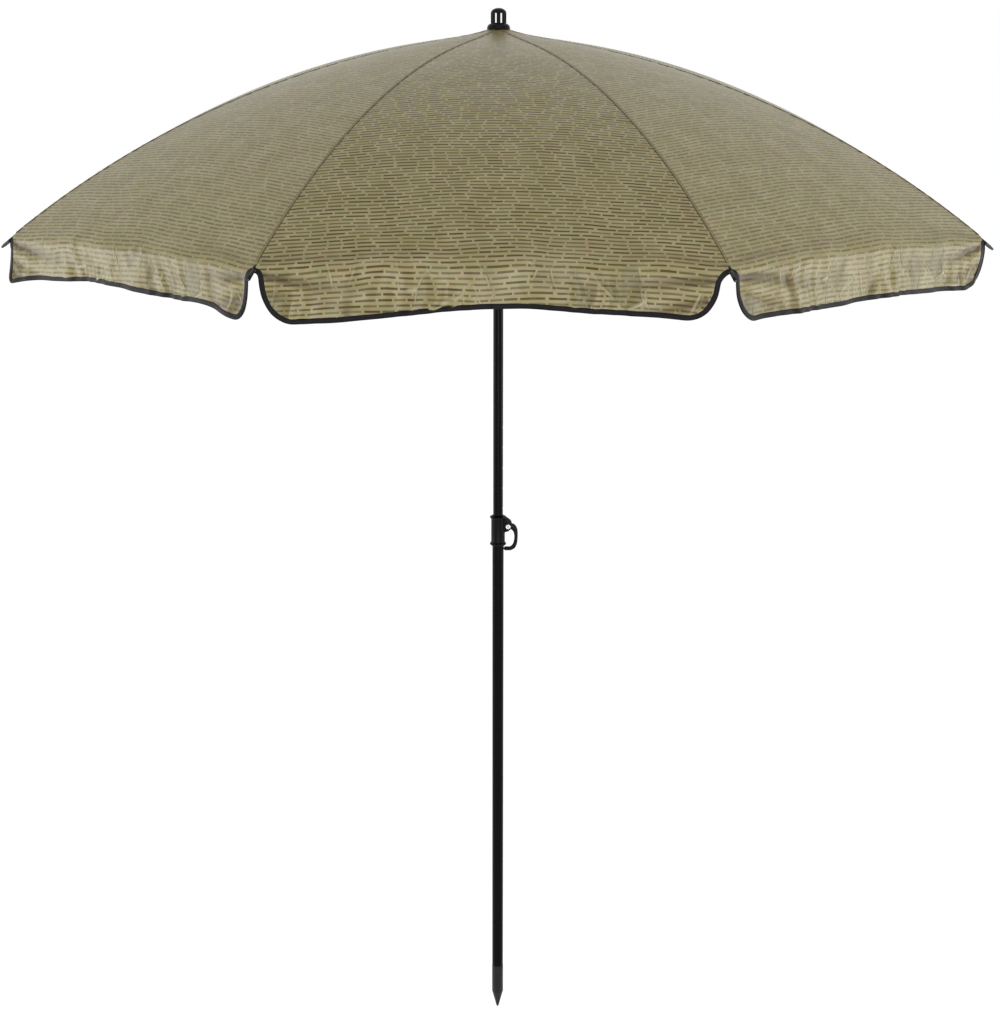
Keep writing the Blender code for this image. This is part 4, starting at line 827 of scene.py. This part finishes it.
def crumple(tree, cloth, down):
    """Ridges on the borders of wandering cells, and cells with painted shade as if they leaned away, both in
    patches of the flap.
    """
    # Ridges: the borders of wandering cells, broken up
    wander = add(tree, "ShaderNodeTexNoise", {"Vector": cloth, "Scale": 18.0, "Detail": 1.0})
    wandered = add(
        tree, "ShaderNodeVectorMath",
        {0: wander.outputs["Color"], 1: (0.016, 0.016, 0.0), 2: cloth}, operation="MULTIPLY_ADD",
    )
    cells = add(tree, "ShaderNodeVectorMath", {0: wandered, 1: CREASE_STRETCH}, operation="MULTIPLY")
    creases = add(
        tree, "ShaderNodeTexVoronoi",
        {"Vector": cells, "Scale": CREASE_SCALE}, feature="DISTANCE_TO_EDGE", voronoi_dimensions="2D",
    )
    crest = add(
        tree, "ShaderNodeMapRange",
        {"Value": creases, 1: 0.0, 2: 0.075, 3: 1.0, 4: 0.0}, interpolation_type="SMOOTHSTEP",
    )
    gaps = add(tree, "ShaderNodeTexNoise", {"Vector": cloth, "Scale": 42.0, "Detail": 1.0})
    broken = add(tree, "ShaderNodeMapRange", {"Value": gaps, 1: 0.42, 2: 0.6, 3: 0.0, 4: 1.0})
    pieces = add(tree, "ShaderNodeMath", {0: crest, 1: broken}, operation="MULTIPLY")
    # Patches: some stretches of the flap, and hardly any cloth above the rim
    patches = add(tree, "ShaderNodeTexNoise", {"Vector": cloth, "Scale": 13.0, "Detail": 0.0})
    patch = add(tree, "ShaderNodeMapRange", {"Value": patches, 1: 0.42, 2: 0.54, 3: 0.0, 4: 1.0})
    lowered = {"Value": down, 1: RIM_V - 0.012, 2: RIM_V + 0.014, 3: 0.03, 4: 1.0}
    low = add(tree, "ShaderNodeMapRange", lowered)
    held = add(tree, "ShaderNodeMath", {0: patch, 1: low}, operation="MULTIPLY")
    folds = add(tree, "ShaderNodeMath", {0: pieces, 1: held}, operation="MULTIPLY")
    # Facets: the cells between the ridges, some of which get painted shade, as if they leaned away from the
    # light
    facets = add(
        tree, "ShaderNodeTexVoronoi", {"Vector": cells, "Scale": CREASE_SCALE}, voronoi_dimensions="2D"
    )
    facet = add(tree, "ShaderNodeSeparateColor", {"Color": facets.outputs["Color"]})
    chosen = add(tree, "ShaderNodeMapRange", {"Value": facet.outputs[0], 1: 0.2, 2: 0.34, 3: 0.36, 4: 0.0})
    return folds, add(tree, "ShaderNodeMath", {0: chosen, 1: held}, operation="MULTIPLY")


print("a facet is about", round(1 / CREASE_SCALE, 3), "m wide")

# %% [markdown]
# The two faces of the cloth share one recipe. Its ground drifts to a lighter
# khaki with faint green and rosy clouds, and painted shade makes it darker and
# browner in the valleys and fold hollows. The coating gives it a soft grey gloss,
# broken by the weave and by small dents. Outside, the ink is at full strength,
# and the coated inside is duller, with the print showing through.

# %% Coated polyester, outside and inside
GREEN_CLOUD, ROSY_CLOUD = "#96A07A", "#AE9279"
# Painted shade in the valleys and fold hollows: its colour and its strength
PAINTED_SHADE_COLOUR, PAINTED_SHADE_STRENGTH = "#55442A", 0.82
# Painted olive shade on the facets that lean away from the light
PAINTED_FACET_SHADE = "#5C562C"
# Strength of the pale painted highlight along the crease ridges
PAINTED_CREASE_HIGHLIGHT = 0.75


def printed_cloth(name, ground, dash, light, wear_and_highlight, fill, rough):
    """Coated polyester with its print: colours of ground, dashes, lighter cloth and the ridges' painted
    highlight, and ink.
    """
    material, tree, shader = finish(name, Roughness=rough, Specular_IOR_Level=0.25)
    cloth = add(tree, "ShaderNodeUVMap", uv_map="cloth")
    part = add(tree, "ShaderNodeSeparateXYZ", {"Vector": cloth})
    across, down = part.outputs["X"], part.outputs["Y"]
    ink = dash_ink(tree, cloth, across, down, fill)
    folds, shaded_facets = crumple(tree, cloth, down)
    # Ground: khaki that drifts to a lighter tone, with faint green and rosy clouds
    tone = add(tree, "ShaderNodeTexNoise", {"Vector": cloth, "Scale": 22.0, "Detail": 2.0})
    toned = add(tree, "ShaderNodeMapRange", {"Value": tone, 1: 0.35, 2: 0.68, 3: 0.0, 4: 0.7})
    cloud = add(tree, "ShaderNodeTexNoise", {"Vector": cloth, "Scale": 55.0, "Detail": 1.0})
    clouded = add(tree, "ShaderNodeSeparateColor", {"Color": cloud.outputs["Color"]})
    green = add(tree, "ShaderNodeMapRange", {"Value": clouded.outputs[0], 1: 0.5, 2: 0.7, 3: 0.0, 4: 0.32})
    rosy = add(tree, "ShaderNodeMapRange", {"Value": clouded.outputs[1], 1: 0.52, 2: 0.72, 3: 0.0, 4: 0.32})
    # Painted shade, darker and browner, where the shade attribute marks valleys and fold hollows
    shade_attribute = add(tree, "ShaderNodeAttribute", attribute_name="shade")
    valley_shade = add(tree, "ShaderNodeMath", {0: shade_attribute.outputs["Fac"], 1: PAINTED_SHADE_STRENGTH}, operation="MULTIPLY")
    # Relief: the weave, drawn four times as coarse as its 0.3 mm threads, and soft dents
    weave = add(tree, "ShaderNodeTexNoise", {"Vector": cloth, "Scale": 800.0, "Detail": 2.0})
    weave_bump = add(tree, "ShaderNodeBump", {"Height": weave, "Strength": 0.1, "Distance": 0.0004})
    dents = add(tree, "ShaderNodeTexNoise", {"Vector": cloth, "Scale": 34.0, "Detail": 2.0})
    dented = {"Height": dents, "Strength": 0.35, "Distance": 0.003, "Normal": weave_bump}
    dent_bump = add(tree, "ShaderNodeBump", dented)
    raised = {"Height": folds, "Strength": 1.0, "Distance": 0.0015, "Normal": dent_bump}
    fold_bump = add(tree, "ShaderNodeBump", raised)
    # Painted highlight: the crease ridges made paler
    crease_highlight = add(tree, "ShaderNodeMath", {0: folds, 1: PAINTED_CREASE_HIGHLIGHT}, operation="MULTIPLY")
    # Colour: each layer lies over the ones before it, as strong as its own pattern
    under = colour(ground)
    for strong, tint in (
        (toned, light), (green, GREEN_CLOUD), (rosy, ROSY_CLOUD), (ink, dash),
        (valley_shade, PAINTED_SHADE_COLOUR), (crease_highlight, wear_and_highlight), (shaded_facets, PAINTED_FACET_SHADE),
    ):
        laid = {"Factor": strong, "A": under, "B": colour(tint)}
        under = add(tree, "ShaderNodeMix", laid, data_type="RGBA").outputs["Result"]
    tree.links.new(under, shader.inputs["Base Color"])
    tree.links.new(fold_bump.outputs["Normal"], shader.inputs["Normal"])
    return material


# The fourth colour of each face is the painted highlight on its crease ridges
cover_outside = printed_cloth(
    "coated polyester, printed side", "#A79C6C", "#53431C", "#BDB288", "#D3CBAA", fill=1.0, rough=0.37
)
cover_inside = printed_cloth(
    "coated polyester, coated side", "#6E6A4C", "#585438", "#77734F", "#85815E", fill=0.5, rough=0.5
)
print("the print is drawn by", len(cover_outside.node_tree.nodes), "nodes")

# %% [markdown]
# A seam is the cover's own cloth, but it is folded so narrow that no whole dash
# is left on it. The printed finish would draw dashes there all the same, so the
# band has a small finish of its own: a pale crown between two dark lines. The
# dark lines are the needle lines together with painted shade in the grooves.


# %% Lapped seam
def lapped_seam():
    """The cover's cloth folded into a narrow band: pale on its crown, dark beside it in the needle lines and
    their painted shade.
    """
    material, tree, shader = finish("lapped seam of the cover", Roughness=0.45)
    where = add(tree, "ShaderNodeUVMap", uv_map="cloth")
    part = add(tree, "ShaderNodeSeparateXYZ", {"Vector": where})
    far = add(tree, "ShaderNodeMath", {0: part.outputs["X"]}, operation="ABSOLUTE")
    side = add(tree, "ShaderNodeMapRange", {"Value": far, 1: 0.0014, 2: 0.0022, 3: 0.0, 4: 1.0})
    # The dark lines, needle lines with painted shade, fade out towards the crown
    lower = add(tree, "ShaderNodeMapRange", {"Value": part.outputs["Y"], 1: 0.10, 2: 0.24, 3: 0.25, 4: 1.0})
    line = add(tree, "ShaderNodeMath", {0: side, 1: lower}, operation="MULTIPLY")
    tone = add(tree, "ShaderNodeTexNoise", {"Vector": where, "Scale": 140.0, "Detail": 2.0})
    under = colour("#7E7149")
    for strong, tint in ((tone, "#948759"), (line, "#41371F")):
        laid = {"Factor": strong, "A": under, "B": colour(tint)}
        under = add(tree, "ShaderNodeMix", laid, data_type="RGBA").outputs["Result"]
    tree.links.new(under, shader.inputs["Base Color"])
    bump = add(tree, "ShaderNodeBump", {"Height": tone, "Strength": 0.4, "Distance": 0.0008})
    tree.links.new(bump.outputs["Normal"], shader.inputs["Normal"])
    return material


seam_cloth = lapped_seam()
print("seams are made of the", seam_cloth.name)

# %% [markdown]
# ## Tape and thread
#
# The binding is woven black polyester with a smooth, slightly shiny face, and
# the thread is dark brown. The tape's ribs and the twist of the thread could be
# modelled, but they are too fine to be seen one by one, so textures draw them.


# %% Tape and thread
def woven_tape():
    """Black polyester tape with a fine rib across it that catches the light."""
    material, tree, shader = finish("woven polyester tape", Roughness=0.45, Specular_IOR_Level=0.14)
    shader.inputs["Base Color"].default_value = colour("#0F0E12")
    where = add(tree, "ShaderNodeUVMap", uv_map="cloth")
    ribs = add(
        tree, "ShaderNodeTexWave",
        {"Vector": where, "Scale": 260.0, "Distortion": 0.6}, bands_direction="Y",
    )
    soft = add(tree, "ShaderNodeTexNoise", {"Vector": where, "Scale": 120.0, "Detail": 2.0})
    mixed = add(tree, "ShaderNodeMath", {0: ribs.outputs["Fac"], 1: 0.35, 2: soft}, operation="MULTIPLY_ADD")
    bump = add(tree, "ShaderNodeBump", {"Height": mixed, "Strength": 0.5, "Distance": 0.0007})
    tree.links.new(bump.outputs["Normal"], shader.inputs["Normal"])
    return material


def sewing_thread():
    """Dark brown polyester thread, dull, a little lighter where it twists up."""
    material, tree, shader = finish("polyester thread", Roughness=0.7)
    where = add(tree, "ShaderNodeTexCoord")
    twist = add(tree, "ShaderNodeTexNoise", {"Vector": where.outputs["Object"], "Scale": 900.0})
    tones = {"Factor": twist, "A": colour("#2B2517"), "B": colour("#453C26")}
    tone = add(tree, "ShaderNodeMix", tones, data_type="RGBA")
    tree.links.new(tone.outputs["Result"], shader.inputs["Base Color"])
    return material


tape_finish = woven_tape()
thread_finish = sewing_thread()
print("sewn with", thread_finish.name, "and bound with", tape_finish.name)

# %% [markdown]
# ## Enamel, plastic and steel
#
# The poles are steel tubes in baked black enamel, the fittings are black moulded
# plastic, and the spike is steel under a worn black coat. Each could have its
# own recipe, but they differ only in colour, shine, wear and grain, so one
# function takes these as values.


# %% Enamel, plastic and steel
def grained(name, base, wear_and_highlight, wear_at, grain_scale, grain_strength, **values):
    """A hard finish: a base colour, a second one where a noise passes wear_at, and a fine relief of grain."""
    material, tree, shader = finish(name, **values)
    where = add(tree, "ShaderNodeTexCoord").outputs["Object"]
    spots = {"Vector": where, "Scale": 60.0, "Detail": 6.0, "Roughness": 0.65}
    patch = add(tree, "ShaderNodeTexNoise", spots)
    mask = add(tree, "ShaderNodeMapRange", {"Value": patch, 1: wear_at, 2: wear_at + 0.12, 3: 0.0, 4: 1.0})
    tones = {"Factor": mask, "A": colour(base), "B": colour(wear_and_highlight)}
    tone = add(tree, "ShaderNodeMix", tones, data_type="RGBA")
    tree.links.new(tone.outputs["Result"], shader.inputs["Base Color"])
    grain = add(tree, "ShaderNodeTexNoise", {"Vector": where, "Scale": grain_scale, "Detail": 3.0})
    bump = add(tree, "ShaderNodeBump", {"Height": grain, "Strength": grain_strength, "Distance": 0.0003})
    tree.links.new(bump.outputs["Normal"], shader.inputs["Normal"])
    rough = shader.inputs["Roughness"].default_value
    hazy = {"Value": patch, 1: 0.3, 2: 0.7, 3: rough * 0.8, 4: min(rough * 1.25, 1)}
    haze = add(tree, "ShaderNodeMapRange", hazy)
    tree.links.new(haze.outputs[0], shader.inputs["Roughness"])
    return material


# Enamel baked on tube: deep black and smooth, with thin lines of light down its length
enamel = grained(
    "baked black enamel", "#050506", "#0A0A0B", 0.62, 900.0, 0.15, Roughness=0.3, Specular_IOR_Level=0.08
)
# Nylon from a mould: black with a fine grain, so its light is softer than the enamel's
plastic = grained(
    "moulded black nylon", "#060607", "#0D0D0E", 0.6, 1500.0, 0.3, Roughness=0.36, Specular_IOR_Level=0.12
)
# Zinc on steel wire and rivets: pale and bright, with duller patches
bright_steel = grained(
    "zinc-plated steel", "#C9C8C2", "#A29F97", 0.55, 1200.0, 0.15, Roughness=0.3, Metallic=1.0
)
# Steel blacked in oil: nearly black, with a low shine
pin_steel = grained(
    "blacked steel", "#121213", "#1E1E1F", 0.55, 1200.0, 0.15, Roughness=0.4, Specular_IOR_Level=0.3
)
# Spring wire as it comes from the die: mid grey, dulled by its handling
rod_steel = grained(
    "drawn spring steel", "#6E6D6A", "#4F4D49", 0.55, 1600.0, 0.2, Roughness=0.38, Metallic=1.0
)
# The tips of the ribs: darker than the wire, so they stand out against a white ground
tip_finish = grained(
    "dark steel tip", "#5A595B", "#434245", 0.55, 1500.0, 0.25, Roughness=0.34, Metallic=1.0
)
# The spike's coat: a brownish black, matt and a little rough from the ground
spike_finish = grained(
    "worn black coat on steel", "#181715", "#2B2925", 0.56, 700.0, 0.35,
    Roughness=0.45, Specular_IOR_Level=0.25,
)
hard_finishes = (enamel, plastic, bright_steel, pin_steel, rod_steel, tip_finish, spike_finish)
print("hard finishes:", ", ".join(material.name for material in hard_finishes))

# %% [markdown]
# ## Dressing the solids
#
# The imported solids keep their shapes. They arrive as loose facets, so a Weld
# modifier joins them, and a small node group smooths every edge that is not a
# real corner. Moulded pieces also get narrow rounded edges that catch the light.
# All of this could be done to the mesh itself, but modifiers leave it as it
# came, and the joints and the collisions were made from it.


# %% Smooth the hard pieces
def smoothing(angle):
    """A geometry group that shades faces smooth except across edges sharper than the angle."""
    group = bpy.data.node_groups.new("smooth by angle", "GeometryNodeTree")
    group.interface.new_socket("Geometry", in_out="INPUT", socket_type="NodeSocketGeometry")
    group.interface.new_socket("Geometry", in_out="OUTPUT", socket_type="NodeSocketGeometry")
    start = add(group, "NodeGroupInput")
    edge = add(group, "GeometryNodeInputMeshEdgeAngle")
    flat = add(group, "FunctionNodeCompare", {0: edge, 1: angle}, data_type="FLOAT", operation="LESS_THAN")
    shaped = start
    for domain, smooth in (("FACE", True), ("EDGE", flat)):
        sockets = {"Geometry": shaped, "Shade Smooth": smooth}
        shaped = add(group, "GeometryNodeSetShadeSmooth", sockets, domain=domain)
    add(group, "NodeGroupOutput", {0: shaped})
    return group


SMOOTH_BELOW, ROUND_ABOVE, FLAT_BELOW = math.radians(38), math.radians(40), math.radians(1)
WELD_DISTANCE = 0.00001
smooth_group = smoothing(SMOOTH_BELOW)


def dress(node_name, material, bevel=0.0):
    """Gives a solid its finish, joins its facets, rounds its sharp edges a little and smooths the rest."""
    solid = nodes[node_name]
    solid.data.materials.clear()
    solid.data.materials.append(material)
    weld = solid.modifiers.new("join facets", "WELD")
    weld.merge_threshold = WELD_DISTANCE
    if bevel:
        planar = solid.modifiers.new("flat faces", "DECIMATE")
        planar.decimate_type = "DISSOLVE"
        planar.angle_limit = FLAT_BELOW
        edge = solid.modifiers.new("worn edges", "BEVEL")
        edge.width = bevel
        edge.segments = 2
        edge.limit_method = "ANGLE"
        edge.angle_limit = ROUND_ABOVE
    shade = solid.modifiers.new("shading", "NODES")
    shade.node_group = smooth_group


FINISHES = {
    "lower_pole": enamel, "upper_pole": enamel, "ground_spike": spike_finish, "lock_collar": plastic,
    "lock_lever": plastic, "lever_rivet": bright_steel, "lever_spring": bright_steel, "latch_pin": pin_steel,
    "crown_hub": plastic, "crown_wire": bright_steel, "finial": plastic, "runner": plastic,
    "runner_wire": bright_steel, "pole_catch": bright_steel, "catch_pin": bright_steel,
    "rib": rod_steel, "rib_tip": tip_finish, "rib_clip": plastic, "strut": enamel,
}
# Radius of the worn edges of the moulded pieces
EDGES = {"lock_collar": 0.0003, "lock_lever": 0.0005, "finial": 0.0003, "runner": 0.0003, "crown_hub": 0.0002}

for name in nodes:
    kind = name.rstrip("0123456789").rstrip("_")
    if not name.startswith("canopy_panel"):
        dress(name, FINISHES[kind], EDGES.get(kind, 0.0))
print(sum(bool(nodes[name].modifiers) for name in nodes), "solids are dressed")

# %% [markdown]
# ## Cloth on the ribs
#
# The real cover is held by the ribs alone, so all that is sewn moves as they
# move. A simulation could work that out for each pose, but here each piece is
# told which rib it rides on, which is quick and comes out the same every time.
# The half gores and the bindings also get a copy of their mesh of their own,
# and the seams, the stitches and the sleeves ride as they are.

# %% Give the cloth its finishes and let it follow the ribs
soft_pieces = {"binding": (tapes, tape_finish, True), "sleeve": (sleeves, tape_finish, False)}
soft_pieces |= {"seam": (seams, seam_cloth, False), "thread": (threads, thread_finish, False)}
for pieces, material, fold in soft_pieces.values():
    for rib, piece in pieces.items():
        piece.data.materials.append(material)
        follow_rib(piece, rib, fold)

for (gore, side), cloth in gores.items():
    rib = rib_of(gore, side)
    cloth.data.materials.append(cover_outside)
    cloth.data.materials.append(cover_inside)
    follow_rib(cloth, rib)

# %% [markdown]
# ## Floor and light
#
# The photograph is a cut-out on white. Stronger lamps could make the ground
# white, but they would bleach the cloth too, so the floor and the world are
# white only for the rays that show them, straight or in a reflection. The floor
# still carries the shadow. Two large soft lamps stand left and right of the
# camera, as in a studio, and a third in front, so the flaps, which face them,
# come out brighter than the dome. A weaker lamp lights the dome from above the
# camera, and the world does the rest, where colours come out as written.


# %% Floor, world and lamps
FLOOR_SIZE = 60
FLOOR_WHITE, FLOOR_WHITE_SHARE = 1.21, 0.8
WORLD_LIGHT, WORLD_WHITE = 0.28, 1.0


def background_rays(tree):
    """One for the rays that show the background, straight or mirrored, and none for the rays that light."""
    path = add(tree, "ShaderNodeLightPath")
    shown = path.outputs["Is Camera Ray"]
    for ray in ("Is Glossy Ray", "Is Transmission Ray"):
        shown = add(tree, "ShaderNodeMath", {0: shown, 1: path.outputs[ray]}, operation="MAXIMUM").outputs[0]
    return shown


def pale_floor():
    """A matt white floor that is seen almost as pure white, with part of its shadow kept."""
    material, tree, shader = finish("pale studio floor", Roughness=0.9, Specular_IOR_Level=0.0)
    shader.inputs["Base Color"].default_value = colour("#F4F4F4")
    white = add(tree, "ShaderNodeEmission", {"Color": (1, 1, 1, 1), "Strength": FLOOR_WHITE})
    seen = add(tree, "ShaderNodeMath", {0: background_rays(tree), 1: FLOOR_WHITE_SHARE}, operation="MULTIPLY")
    mixed = add(tree, "ShaderNodeMixShader", {0: seen, 1: shader, 2: white})
    tree.links.new(mixed.outputs[0], tree.nodes["Material Output"].inputs["Surface"])
    return material


bpy.ops.mesh.primitive_plane_add(size=FLOOR_SIZE, location=(0, 0, 0))
floor = bpy.context.object
floor.name = "floor"
floor.data.materials.append(pale_floor())
floor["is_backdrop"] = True

world = bpy.data.worlds.new("studio")
bpy.context.scene.world = world
world.use_nodes = True
tree = world.node_tree
sky = tree.nodes["Background"]
sky.inputs["Color"].default_value = (1, 1, 1, 1)
seen = add(tree, "ShaderNodeMapRange", {"Value": background_rays(tree), 3: WORLD_LIGHT, 4: WORLD_WHITE})
tree.links.new(seen.outputs[0], sky.inputs["Strength"])


def soft_lamp(name, place, aim, size, watts):
    """A square area lamp that points at a place."""
    lamp = bpy.data.objects.new(name, bpy.data.lights.new(name, "AREA"))
    lamp.data.size = size
    lamp.data.energy = watts
    lamp.location = place
    lamp.rotation_euler = (Vector(aim) - Vector(place)).to_track_quat("-Z", "Y").to_euler()
    bpy.context.scene.collection.objects.link(lamp)


soft_lamp("left lamp", place=(-3.5, 0.0, 1.3), aim=(0, -0.4, 1.5), size=1.8, watts=40)
soft_lamp("right lamp", place=(3.5, 0.0, 1.3), aim=(0, -0.4, 1.5), size=1.8, watts=36.5)
soft_lamp("front lamp", place=(0.4, -4.6, 1.2), aim=(0, 0, 1.6), size=1.4, watts=52)
soft_lamp("upper lamp", place=(0.2, -2.6, 4.8), aim=(0, 0, 1.7), size=2.4, watts=27)

bpy.context.scene.view_settings.view_transform = "Standard"
print("lamps of", [round(light.energy, 1) for light in bpy.data.lights], "watts")

# %% [markdown]
# Last, the box of the dressed umbrella is measured beside the box of its solids,
# which would show a piece that strays.

# %% Finish
visual_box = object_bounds()
for what, box in (("solids", solid_box), ("dressed", visual_box)):
    print(what, [[round(x, 3) for x in v] for v in box])
